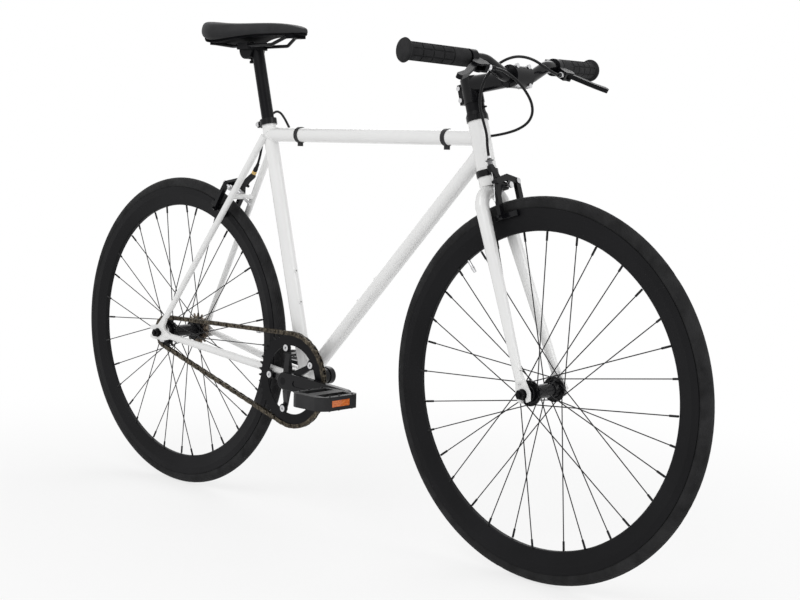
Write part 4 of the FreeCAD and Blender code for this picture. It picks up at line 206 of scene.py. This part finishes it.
def add_camera():
    flat, high = math.cos(CAMERA_ELEVATION), math.sin(CAMERA_ELEVATION)
    back = Vector((math.sin(CAMERA_AZIMUTH) * flat, -math.cos(CAMERA_AZIMUTH) * flat, high))
    level = Vector((0, 0, 1)).cross(back).normalized()
    rise = back.cross(level)
    right = level * math.cos(CAMERA_ROLL) + rise * math.sin(CAMERA_ROLL)
    up = rise * math.cos(CAMERA_ROLL) - level * math.sin(CAMERA_ROLL)
    data = bpy.data.cameras.new("camera")
    data.sensor_width = SENSOR_WIDTH
    data.lens = LENS_LENGTH
    data.clip_end = VIEW_END
    camera = bpy.data.objects.new("camera", data)
    scene.collection.objects.link(camera)
    turn = Matrix((right, up, back)).transposed().to_4x4()
    camera.matrix_world = Matrix.Translation(CAMERA_TARGET + back * CAMERA_DISTANCE) @ turn
    scene.camera = camera


# Materials
class Wiring:
    """A node tree under construction."""

    def __init__(self, tree):
        self.tree = tree

    def new(self, kind, **settings):
        node = self.tree.nodes.new(kind)
        for key, value in settings.items():
            setattr(node, key, value)
        return node

    def link(self, source, target):
        self.tree.links.new(source, target)

    def maths(self, operation, *values):
        node = self.new("ShaderNodeMath", operation=operation)
        for socket, value in zip(node.inputs, values):
            if isinstance(value, float):
                socket.default_value = value
            else:
                self.link(value, socket)
        return node.outputs[0]

    def span(self, factor, low, high, from_low=0.0, from_high=1.0, easing="LINEAR"):
        node = self.new("ShaderNodeMapRange", interpolation_type=easing)
        self.link(factor, node.inputs["Value"])
        node.inputs["From Min"].default_value = from_low
        node.inputs["From Max"].default_value = from_high
        node.inputs["To Min"].default_value = low
        node.inputs["To Max"].default_value = high
        return node.outputs["Result"]


class Recipe(Wiring):
    """A surface finish under construction, placed by the object's own coordinates."""

    def __init__(self, name):
        self.material = bpy.data.materials.new(name)
        self.material.use_nodes = True
        super().__init__(self.material.node_tree)
        self.shader = self.tree.nodes["Principled BSDF"]
        self.place = self.new("ShaderNodeTexCoord").outputs["Object"]

    def noise(self, scale, detail=3.0, rough=0.5, place=None):
        node = self.new("ShaderNodeTexNoise")
        node.inputs["Scale"].default_value = scale
        node.inputs["Detail"].default_value = detail
        node.inputs["Roughness"].default_value = rough
        self.link(place or self.place, node.inputs["Vector"])
        return node.outputs["Fac"]

    def cells(self, scale):
        node = self.new("ShaderNodeTexVoronoi")
        node.inputs["Scale"].default_value = scale
        self.link(self.place, node.inputs["Vector"])
        return node.outputs["Distance"]

    def ramp(self, factor, *stops):
        node = self.new("ShaderNodeValToRGB")
        self.link(factor, node.inputs["Fac"])
        elements = node.color_ramp.elements
        while len(elements) < len(stops):
            elements.new(0.5)
        for element, (position, colour) in zip(elements, stops):
            element.position = position
            element.color = (*colour, 1)
        return node.outputs["Color"]

    def stretched(self, scale):
        node = self.new("ShaderNodeMapping")
        node.inputs["Scale"].default_value = scale
        self.link(self.place, node.inputs["Vector"])
        return node.outputs["Vector"]

    def bump(self, height, depth, under=None):
        node = self.new("ShaderNodeBump")
        node.inputs["Distance"].default_value = depth
        self.link(height, node.inputs["Height"])
        if under is not None:
            self.link(under, node.inputs["Normal"])
        return node.outputs["Normal"]

    def done(self, colour, roughness, normal, **plain):
        self.link(colour, self.shader.inputs["Base Color"])
        self.link(roughness, self.shader.inputs["Roughness"])
        self.link(normal, self.shader.inputs["Normal"])
        for name, value in plain.items():
            label = "Specular IOR Level" if name == "specular" else name.replace("_", " ").title()
            self.shader.inputs[label].default_value = value
        return self.material


def shade(colour, share):
    return tuple(min(1.0, channel * share) for channel in colour)


def enamel():
    """Glossy white paint: faint orange peel under a clear coat, a little greyer where dust settles."""
    recipe = Recipe("white_enamel")
    dust = recipe.noise(9.0, detail=5.0)
    tone = recipe.ramp(dust, (0.25, (0.86, 0.86, 0.855)), (0.65, (0.89, 0.89, 0.885)))
    gloss = recipe.span(recipe.noise(60.0, detail=4.0), 0.22, 0.28)
    peel = recipe.bump(recipe.noise(300.0, detail=1.0), depth=0.00001)
    return recipe.done(tone, gloss, peel, coat_weight=0.6, coat_roughness=0.06)


def coated(name, colour, rough, vary, cloud, grain, depth, spread=0.06, coat=0.0, specular=0.15):
    """A painted, anodised or moulded finish: slow clouding, uneven gloss and a fine surface grain."""
    recipe = Recipe(name)
    clouds = recipe.noise(cloud, detail=4.0)
    tone = recipe.ramp(clouds, (0.3, shade(colour, 1 - vary)), (0.7, shade(colour, 1 + vary)))
    gloss = recipe.span(recipe.noise(cloud * 4, detail=5.0), rough - spread, rough + spread)
    skin = recipe.bump(recipe.noise(grain, detail=2.0), depth)
    return recipe.done(tone, gloss, skin, coat_weight=coat, coat_roughness=0.08, specular=specular)


def brushed(name, colour, rough, metallic=1.0):
    """Turned or brushed metal with fine streaks."""
    recipe = Recipe(name)
    fine = recipe.stretched((2600.0, 160.0, 2600.0))
    streaks = recipe.noise(1.0, detail=6.0, rough=0.6, place=fine)
    stains = recipe.noise(140.0, detail=4.0)
    tone = recipe.ramp(stains, (0.3, shade(colour, 0.8)), (0.7, shade(colour, 1.1)))
    gloss = recipe.span(streaks, rough - 0.08, rough + 0.1)
    return recipe.done(tone, gloss, recipe.bump(streaks, depth=0.00003), metallic=metallic)


def oiled_steel():
    """Brown oiled steel, dark in the dips, with worn paler patches."""
    recipe = Recipe("oiled_chain")
    wear = recipe.noise(210.0, detail=5.0, rough=0.6)
    dark, brown, pale = (0.016, 0.013, 0.009), (0.055, 0.045, 0.032), (0.20, 0.17, 0.12)
    tone = recipe.ramp(wear, (0.3, dark), (0.52, brown), (0.74, pale))
    gloss = recipe.span(recipe.noise(700.0, detail=4.0), 0.28, 0.5)
    pits = recipe.bump(recipe.noise(1500.0, detail=2.0), depth=0.00005)
    return recipe.done(tone, gloss, pits, metallic=0.75)


def leather():
    """Satin black synthetic leather: pebble grain over broad soft creases."""
    recipe = Recipe("saddle_leather")
    pebble = recipe.cells(720.0)
    clouds = recipe.noise(26.0, detail=4.0)
    tone = recipe.ramp(clouds, (0.3, (0.014, 0.014, 0.015)), (0.7, (0.026, 0.026, 0.028)))
    gloss = recipe.span(pebble, 0.42, 0.62, from_high=0.7)
    creases = recipe.bump(recipe.noise(70.0, detail=4.0, rough=0.6), depth=0.0005)
    grain = recipe.bump(pebble, depth=0.00018, under=creases)
    return recipe.done(tone, gloss, grain, specular=0.22)


def rubber():
    """Moulded soft rubber with a fine matte grain and a dusty bloom."""
    recipe = Recipe("grip_rubber")
    bloom = recipe.noise(45.0, detail=5.0)
    tone = recipe.ramp(bloom, (0.3, (0.010, 0.010, 0.011)), (0.72, (0.024, 0.024, 0.025)))
    gloss = recipe.span(recipe.noise(160.0, detail=4.0), 0.66, 0.86)
    grain = recipe.bump(recipe.cells(1300.0), depth=0.00012)
    return recipe.done(tone, gloss, grain, specular=0.18)


def tyre_rubber(name, hub):
    """A tyre: slanted ribs on the tread's shoulders, a smooth crown, and fine rings on the side walls."""
    recipe = Recipe(name)
    offset = recipe.new("ShaderNodeVectorMath", operation="SUBTRACT")
    recipe.link(recipe.place, offset.inputs[0])
    offset.inputs[1].default_value = hub
    parts = recipe.new("ShaderNodeSeparateXYZ")
    recipe.link(offset.outputs[0], parts.inputs[0])
    x, y, z = parts.outputs
    angle = recipe.maths("ARCTAN2", z, x)
    squares = recipe.maths("ADD", recipe.maths("POWER", x, 2.0), recipe.maths("POWER", z, 2.0))
    radius = recipe.maths("SQRT", squares)
    side = recipe.maths("ABSOLUTE", y)
    turns = recipe.maths("MULTIPLY_ADD", side, RIB_SLANT, recipe.maths("MULTIPLY", angle, RIB_PITCH))
    ribs = recipe.maths("MAXIMUM", recipe.maths("SINE", turns), RIB_FLOOR)
    shoulder = recipe.span(side, 0.0, 1.0, CROWN_HALF, SHOULDER_HALF)
    tread_edge = recipe.span(radius, 0.0, 1.0, TREAD_LOW, TREAD_HIGH)
    tread = recipe.maths("MULTIPLY", recipe.maths("MULTIPLY", ribs, shoulder), tread_edge)
    rings = recipe.maths("SINE", recipe.maths("MULTIPLY", radius, WALL_RINGS))
    wall = recipe.maths("MULTIPLY", rings, recipe.maths("SUBTRACT", 1.0, tread_edge))
    bloom = recipe.noise(38.0, detail=5.0)
    tone = recipe.ramp(bloom, (0.3, (0.012, 0.012, 0.0125)), (0.7, (0.028, 0.028, 0.029)))
    gloss = recipe.span(recipe.noise(120.0, detail=4.0), 0.6, 0.82)
    grain = recipe.bump(recipe.noise(1400.0, detail=2.0), depth=0.00006)
    walls = recipe.bump(wall, depth=0.00010, under=grain)
    return recipe.done(tone, gloss, recipe.bump(tread, depth=0.0005, under=walls), specular=0.12)


def reflector():
    """Amber prismatic plastic."""
    recipe = Recipe("amber_reflector")
    prisms = recipe.cells(520.0)
    tone = recipe.ramp(prisms, (0.05, (0.95, 0.30, 0.04)), (0.6, (0.62, 0.12, 0.012)))
    gloss = recipe.span(recipe.noise(300.0), 0.10, 0.2)
    return recipe.done(tone, gloss, recipe.bump(prisms, depth=0.0004), coat_weight=0.7)


BLACK = (0.005, 0.005, 0.006)
PAINT = enamel()
SATIN = coated("satin_black", BLACK, rough=0.36, vary=0.3, cloud=22.0, grain=1500.0, depth=0.00002,
               specular=0.1)
GLOSS = coated("gloss_black", BLACK, rough=0.2, vary=0.25, cloud=22.0, grain=1500.0, depth=0.00001,
               spread=0.04, coat=0.05, specular=0.16)
RIM = coated("rim_black", (0.009, 0.009, 0.010), rough=0.5, vary=0.25, cloud=8.0, grain=2200.0,
             depth=0.00003, spread=0.08, specular=0.1)
SPOKE = coated("spoke_black", (0.012, 0.012, 0.013), rough=0.32, vary=0.2, cloud=30.0, grain=1800.0,
               depth=0.00001)
PLASTIC = coated("moulded_plastic", (0.015, 0.015, 0.016), rough=0.45, vary=0.3, cloud=40.0, grain=1700.0,
                 depth=0.00007, spread=0.1, specular=0.25)
SLEEVE = coated("cable_sleeve", (0.010, 0.010, 0.011), rough=0.24, vary=0.2, cloud=60.0, grain=900.0,
                depth=0.00003)
STEEL = brushed("bright_steel", (0.62, 0.62, 0.63), rough=0.28)
DARK_STEEL = brushed("dark_steel", (0.17, 0.14, 0.11), rough=0.38, metallic=0.85)
GREY_STEEL = brushed("grey_steel", (0.15, 0.15, 0.155), rough=0.28)
BRASS = brushed("brass", (0.72, 0.50, 0.20), rough=0.26)
SHELL = coated("shell_plastic", BLACK, rough=0.7, vary=0.3, cloud=40.0, grain=1700.0, depth=0.00007,
               spread=0.1, specular=0.03)
CHAIN = oiled_steel()
LEATHER = leather()
RUBBER = rubber()
AMBER = reflector()

LOOKS = {
    PAINT: "head_tube top_tube down_tube seat_tube bottom_bracket_shell chain_stays seat_stays"
           " rear_fork_ends fork_crown fork_blades",
    GLOSS: "headset_cups seat_collar stem stem_faceplate handlebar front_hub rear_hub right_crank"
           " left_crank saddle_rails front_brake_centre_arm front_brake_side_arm rear_brake_centre_arm"
           " rear_brake_side_arm",
    SATIN: "bottom_bracket_cartridge rear_axle front_axle headset_spacers lever_brackets fixed_cog"
           " chainring bottom_bracket_spindle seatpost saddle_clamp right_lever left_lever",
    STEEL: "frame_bolts front_end_bolts fork_steerer front_inner_tube rear_inner_tube cog_lockring"
           " chainring_bolts pedal_spindles",
    PLASTIC: "cable_clips right_pedal left_pedal",
    SHELL: "saddle_shell",
    SLEEVE: "rear_brake_cable front_brake_cable",
    RIM: "front_rim rear_rim",
    SPOKE: "front_spokes rear_spokes",
    RUBBER: "grips",
    CHAIN: "chain",
    DARK_STEEL: "freewheel",
    LEATHER: "saddle_cover",
    tyre_rubber("front_tyre_rubber", FRONT_AXLE): "front_tyre",
    tyre_rubber("rear_tyre_rubber", REAR_AXLE): "rear_tyre",
}
ROUNDED = (
    "right_crank left_crank stem stem_faceplate lever_brackets right_lever left_lever seat_collar"
    " front_brake_centre_arm front_brake_side_arm rear_brake_centre_arm rear_brake_side_arm saddle_clamp"
    " right_pedal left_pedal rear_fork_ends fork_blades seatpost front_hub rear_hub cable_clips"
)


def dress_nodes():
    """Gives every CAD node its finish, rounds the cast and moulded ones, and evens the paint's shading."""
    for material, names in LOOKS.items():
        for name in names.split():
            slots = nodes[name].data.materials
            slots.clear()
            slots.append(material)
    for name in ROUNDED.split():
        bevel = nodes[name].modifiers.new("edge_round", "BEVEL")
        bevel.width = EDGE_ROUND
        bevel.segments = EDGE_STEPS
        bevel.limit_method = "ANGLE"
        bevel.angle_limit = EDGE_ANGLE
    for name in LOOKS[PAINT].split():
        even = nodes[name].modifiers.new("even_shading", "WEIGHTED_NORMAL")
        even.keep_sharp = True


# Mesh helpers
def add_piece(name, mesh, material, body=None):
    """Links a finished mesh as a piece, and makes it ride on a body if one is given."""
    piece = bpy.data.objects.new(name, mesh)
    scene.collection.objects.link(piece)
    mesh.materials.clear()
    mesh.materials.append(material)
    if body:
        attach(piece, body)
    return piece


def to_mesh(name, shape, smooth=True):
    mesh = bpy.data.meshes.new(name)
    bmesh.ops.recalc_face_normals(shape, faces=shape.faces)
    shape.to_mesh(mesh)
    shape.free()
    for face in mesh.polygons:
        face.use_smooth = smooth
    return mesh


def skin(name, rings, loop=False):
    """A closed skin over rings of points, capped at both ends or joined into a loop."""
    shape = bmesh.new()
    rows = [[shape.verts.new(point) for point in ring] for ring in rings]
    count = len(rings[0])
    following = rows[1:] + rows[:1] if loop else rows[1:]
    for first, second in zip(rows, following):
        for index in range(count):
            after = (index + 1) % count
            shape.faces.new((first[index], first[after], second[after], second[index]))
    if not loop:
        shape.faces.new(list(reversed(rows[0])))
        shape.faces.new(rows[-1])
    return to_mesh(name, shape)


def route_mesh(name, points, radius):
    """A round tube along a smooth spline that has the route's points as its control points."""
    curve = bpy.data.curves.new(name, "CURVE")
    curve.dimensions = "3D"
    spline = curve.splines.new("NURBS")
    spline.points.add(len(points) - 1)
    for target, point in zip(spline.points, points):
        target.co = (*point, 1)
    spline.order_u = 3
    spline.use_endpoint_u = True
    spline.resolution_u = SLEEVE_STEPS
    curve.bevel_depth = radius
    curve.bevel_resolution = SLEEVE_SIDES
    curve.use_fill_caps = True
    holder = bpy.data.objects.new(name + "_route", curve)
    scene.collection.objects.link(holder)
    graph = bpy.context.evaluated_depsgraph_get()
    mesh = bpy.data.meshes.new_from_object(holder.evaluated_get(graph))
    bpy.data.objects.remove(holder)
    for face in mesh.polygons:
        face.use_smooth = True
    return mesh


def add_turned(name, start, axis, profile, material, body, teeth=KNURL_TEETH):
    """A turned piece from (along, radius, knurled) rows, notched all round where it is knurled."""
    turn = Vector((0, 0, 1)).rotation_difference(axis).to_matrix().to_4x4()
    place = Matrix.Translation(start) @ turn
    rings = []
    for along, radius, knurled in profile:
        ring = []
        for index in range(teeth * 2):
            angle = math.pi * index / teeth
            reach = radius - (KNURL_DEPTH if knurled and index % 2 else 0)
            ring.append(place @ Vector((reach * math.cos(angle), reach * math.sin(angle), along)))
        rings.append(ring)
    mesh = skin(name, rings)
    mesh.set_sharp_from_angle(angle=TURNED_EDGE)
    add_piece(name, mesh, material, body)


# Weld beads where the frame's tubes meet
def add_bead(name, start, way, radius, hit_start, hit_way, hit_radius, size=WELD_SIZE):
    """A rippled bead round the line where one tube, coming from start, meets another."""
    way = way.normalized()
    hit_way = hit_way.normalized()
    across = way.orthogonal().normalized()
    over = way.cross(across)
    run = way - hit_way * way.dot(hit_way)
    line = []
    for step in range(WELD_STEPS):
        angle = 2 * math.pi * step / WELD_STEPS
        edge = start + (across * math.cos(angle) + over * math.sin(angle)) * radius
        gap = edge - hit_start
        gap = gap - hit_way * gap.dot(hit_way)
        middle = -run.dot(gap) / run.dot(run)
        room = middle * middle - (gap.dot(gap) - hit_radius ** 2) / run.dot(run)
        line.append(edge + way * (middle - math.sqrt(max(room, 0.0))))
    turns = [2 * math.pi * number / WELD_SIDES for number in range(WELD_SIDES)]
    rings = []
    for step, point in enumerate(line):
        tangent = (line[(step + 1) % WELD_STEPS] - line[step - 1]).normalized()
        side = (way - tangent * way.dot(tangent)).normalized()
        up = tangent.cross(side)
        swell = size * (1 + WELD_RIPPLE * math.sin(step * math.pi / 2))
        rings.append([point + (side * math.cos(turn) + up * math.sin(turn)) * swell for turn in turns])
    add_piece(name, skin(name, rings, loop=True), PAINT, "frame")


def add_welds():
    lateral = Vector((0, 1, 0))
    head = (STEER_BASE, STEER_UP, HEAD_TUBE_RADIUS)
    shell = (BB, lateral, BB_SHELL_RADIUS)
    top_middle = (TOP_TUBE_REAR + TOP_TUBE_FRONT) / 2
    top_way = TOP_TUBE_FRONT - TOP_TUBE_REAR
    down_way = DOWN_TUBE_FRONT - BB
    down_middle = BB + down_way * 0.5
    add_bead("weld_top_tube_head", top_middle, top_way, TUBE_RADIUS, *head)
    add_bead("weld_top_tube_seat", top_middle, -top_way, TUBE_RADIUS, BB, SEAT_UP, TUBE_RADIUS)
    add_bead("weld_down_tube_head", down_middle, down_way, TUBE_RADIUS, *head)
    add_bead("weld_down_tube_shell", down_middle, -down_way, TUBE_RADIUS, *shell)
    add_bead("weld_seat_tube_shell", BB + SEAT_UP * SEAT_WELD_START, -SEAT_UP, TUBE_RADIUS, *shell)
    for name, side in (("right", -1), ("left", 1)):
        start = BB - DRIVE_FORWARD * STAY_WELD_START + lateral * side * CHAIN_STAY_OFFSET
        add_bead("weld_chain_stay_" + name, start, DRIVE_FORWARD, CHAIN_STAY_RADIUS, *shell, STAY_WELD_SIZE)


def add_saddle():
    outline = [SADDLE_BOTTOM] + SADDLE_SIDE + [SADDLE_TOP]
    outline += [(-across, rise) for across, rise in reversed(SADDLE_SIDE)]
    rings = []
    for x, half, top, low in SADDLE_ROWS:
        rings.append([Vector((x, half * across, low + (top - low) * rise)) for across, rise in outline])
    cover = add_piece("saddle_pad", skin("saddle_pad", rings), LEATHER, "saddle_post")
    smooth = cover.modifiers.new("smooth", "SUBSURF")
    smooth.levels = SADDLE_SMOOTHING
    smooth.render_levels = SADDLE_SMOOTHING
    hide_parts("saddle_cover")


def mirrored(point):
    return Vector((point.x, -point.y, point.z))


# Brake cables: sleeves along their routes, fixed in place, instead of the CAD cables
def add_cable(end, points, *bend):
    """A cable's sleeve along the route's points, fixed in place. The bend argument is not used."""
    name = end + "_cable_sleeve"
    sleeve = add_piece(name, route_mesh(name, points, CABLE_RADIUS), SLEEVE)
    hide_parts(end + "_brake_cable")
    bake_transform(sleeve)


def add_cables():
    points = [LEVER_EXIT, LEVER_EXIT + LEVER_INBOARD * LEVER_LEAD] + FRONT_LOOP
    points += [FRONT_ADJUSTER + STEER_UP * FRONT_BRAKE_LEAD, FRONT_ADJUSTER]
    add_cable("front", points, "front_centre_arm", "fork", *FRONT_BEND)
    start = mirrored(LEVER_EXIT)
    points = [start, start + mirrored(LEVER_INBOARD) * LEVER_LEAD] + REAR_LOOP + REAR_RUN + REAR_DROP
    points += [REAR_ADJUSTER + REAR_BRAKE_UP * REAR_BRAKE_LEAD, REAR_ADJUSTER]
    add_cable("rear", points, "frame", "fork", *REAR_BEND)


# Adjusters, ferrules, boot and bare wires at the ends of the cables
def add_lever_end(side, exit_point, inboard):
    start = exit_point - inboard * LEVER_BARREL_BACK
    add_turned("lever_adjuster_" + side, start, inboard, BARREL, STEEL, "fork")
    start = exit_point - inboard * LEVER_FERRULE_BACK
    add_turned("lever_ferrule_" + side, start, inboard, NECK, SATIN, "fork")


def add_brake_end(end, top, up, adjuster, collar):
    """The adjuster, the collar over the sleeve's end and the wire below, on the arm that holds them."""
    body = end + "_centre_arm"
    profile, material = adjuster
    start = top - up * BRAKE_ADJUSTER_DROP
    add_turned(end + "_brake_adjuster", start, up, profile, material, body)
    kind, profile, material, slot = collar
    add_turned(end + "_brake_" + kind, top - up * BRAKE_COLLAR_DROP, up, profile, material, body)
    start = top - up * WIRE_LENGTH
    add_turned(end + "_brake_wire", start, up, WIRE, STEEL, body, WIRE_TEETH)


def add_cable_ends():
    add_lever_end("left", LEVER_EXIT, LEVER_INBOARD)
    add_lever_end("right", mirrored(LEVER_EXIT), mirrored(LEVER_INBOARD))
    ferrule = ("ferrule", NECK, STEEL, "bright_steel")
    add_brake_end("front", FRONT_ADJUSTER, STEER_UP, (DIAL, GREY_STEEL), ferrule)
    boot = ("boot", BOOT, RUBBER, "soft_rubber")
    add_brake_end("rear", REAR_ADJUSTER, REAR_BRAKE_UP, (BARREL, BRASS), boot)
    start = FRONT_ADJUSTER - STEER_UP * WIRE_END_DROP
    way = WIRE_END_LEAN - STEER_UP
    add_turned("front_wire_end", start, way, WIRE_END, STEEL, "front_side_arm", WIRE_TEETH)


def add_reflectors():
    for body, middle in (("right_pedal", RIGHT_PEDAL), ("left_pedal", LEFT_PEDAL)):
        for name, end in (("front", 1), ("back", -1)):
            shape = bmesh.new()
            bmesh.ops.create_cube(shape, size=1.0)
            bmesh.ops.scale(shape, vec=LENS_SIZE, verts=shape.verts)
            edges = list(shape.edges)
            bmesh.ops.bevel(shape, geom=edges, offset=LENS_EDGE, segments=LENS_EDGE_STEPS, affect="EDGES")
            place = middle + Vector((end * (PEDAL_HALF - LENS_SINK), 0, 0))
            bmesh.ops.translate(shape, vec=place, verts=shape.verts)
            piece = "reflector_%s_%s" % (body, name)
            add_piece(piece, to_mesh(piece, shape, False), AMBER, body)


# Floor and light
def seen_share(wiring, amount):
    """The amount for rays that the eye, a gloss or a glass sends out, and nothing for the rest."""
    paths = wiring.new("ShaderNodeLightPath").outputs
    seen = wiring.maths("MAXIMUM", paths["Is Camera Ray"], paths["Is Glossy Ray"])
    seen = wiring.maths("MAXIMUM", seen, paths["Is Transmission Ray"])
    return wiring.maths("MULTIPLY", seen, amount)


def add_floor():
    shape = bmesh.new()
    bmesh.ops.create_grid(shape, x_segments=1, y_segments=1, size=FLOOR_HALF)
    floor = bpy.data.objects.new("floor", to_mesh("floor", shape))
    scene.collection.objects.link(floor)
    material = bpy.data.materials.new("floor_white")
    material.use_nodes = True
    wiring = Wiring(material.node_tree)
    wiring.tree.nodes.clear()
    diffuse = wiring.new("ShaderNodeBsdfDiffuse")
    diffuse.inputs["Color"].default_value = FLOOR_COLOUR
    glow = wiring.new("ShaderNodeEmission")
    away = wiring.new("ShaderNodeVectorMath", operation="LENGTH")
    wiring.link(wiring.new("ShaderNodeTexCoord").outputs["Object"], away.inputs[0])
    fade = wiring.span(away.outputs["Value"], NEAR_GLOW, 1.0, GLOW_START, GLOW_FULL, "SMOOTHSTEP")
    mix = wiring.new("ShaderNodeMixShader")
    wiring.link(seen_share(wiring, fade), mix.inputs["Fac"])
    wiring.link(diffuse.outputs[0], mix.inputs[1])
    wiring.link(glow.outputs[0], mix.inputs[2])
    output = wiring.new("ShaderNodeOutputMaterial")
    wiring.link(mix.outputs[0], output.inputs["Surface"])
    floor.data.materials.append(material)


def add_world():
    world = bpy.data.worlds.new("studio")
    scene.world = world
    world.use_nodes = True
    wiring = Wiring(world.node_tree)
    sky = wiring.tree.nodes["Background"]
    sky.inputs["Color"].default_value = SKY_COLOUR
    level = wiring.maths("ADD", seen_share(wiring, SKY_SEEN), SKY_LEVEL)
    wiring.link(level, sky.inputs["Strength"])


def add_softboxes():
    for name, place, aim, width, height, power in SOFTBOXES:
        data = bpy.data.lights.new(name, "AREA")
        data.shape = "RECTANGLE"
        data.size = width
        data.size_y = height
        data.energy = power
        lamp = bpy.data.objects.new(name, data)
        scene.collection.objects.link(lamp)
        lamp.location = place
        lamp.rotation_euler = (Vector(aim) - Vector(place)).to_track_quat("-Z", "Y").to_euler()


add_camera()
add_floor()
add_world()
add_softboxes()
dress_nodes()
add_cables()
add_cable_ends()
add_saddle()
add_reflectors()
add_welds()

scene.view_settings.view_transform = "Standard"
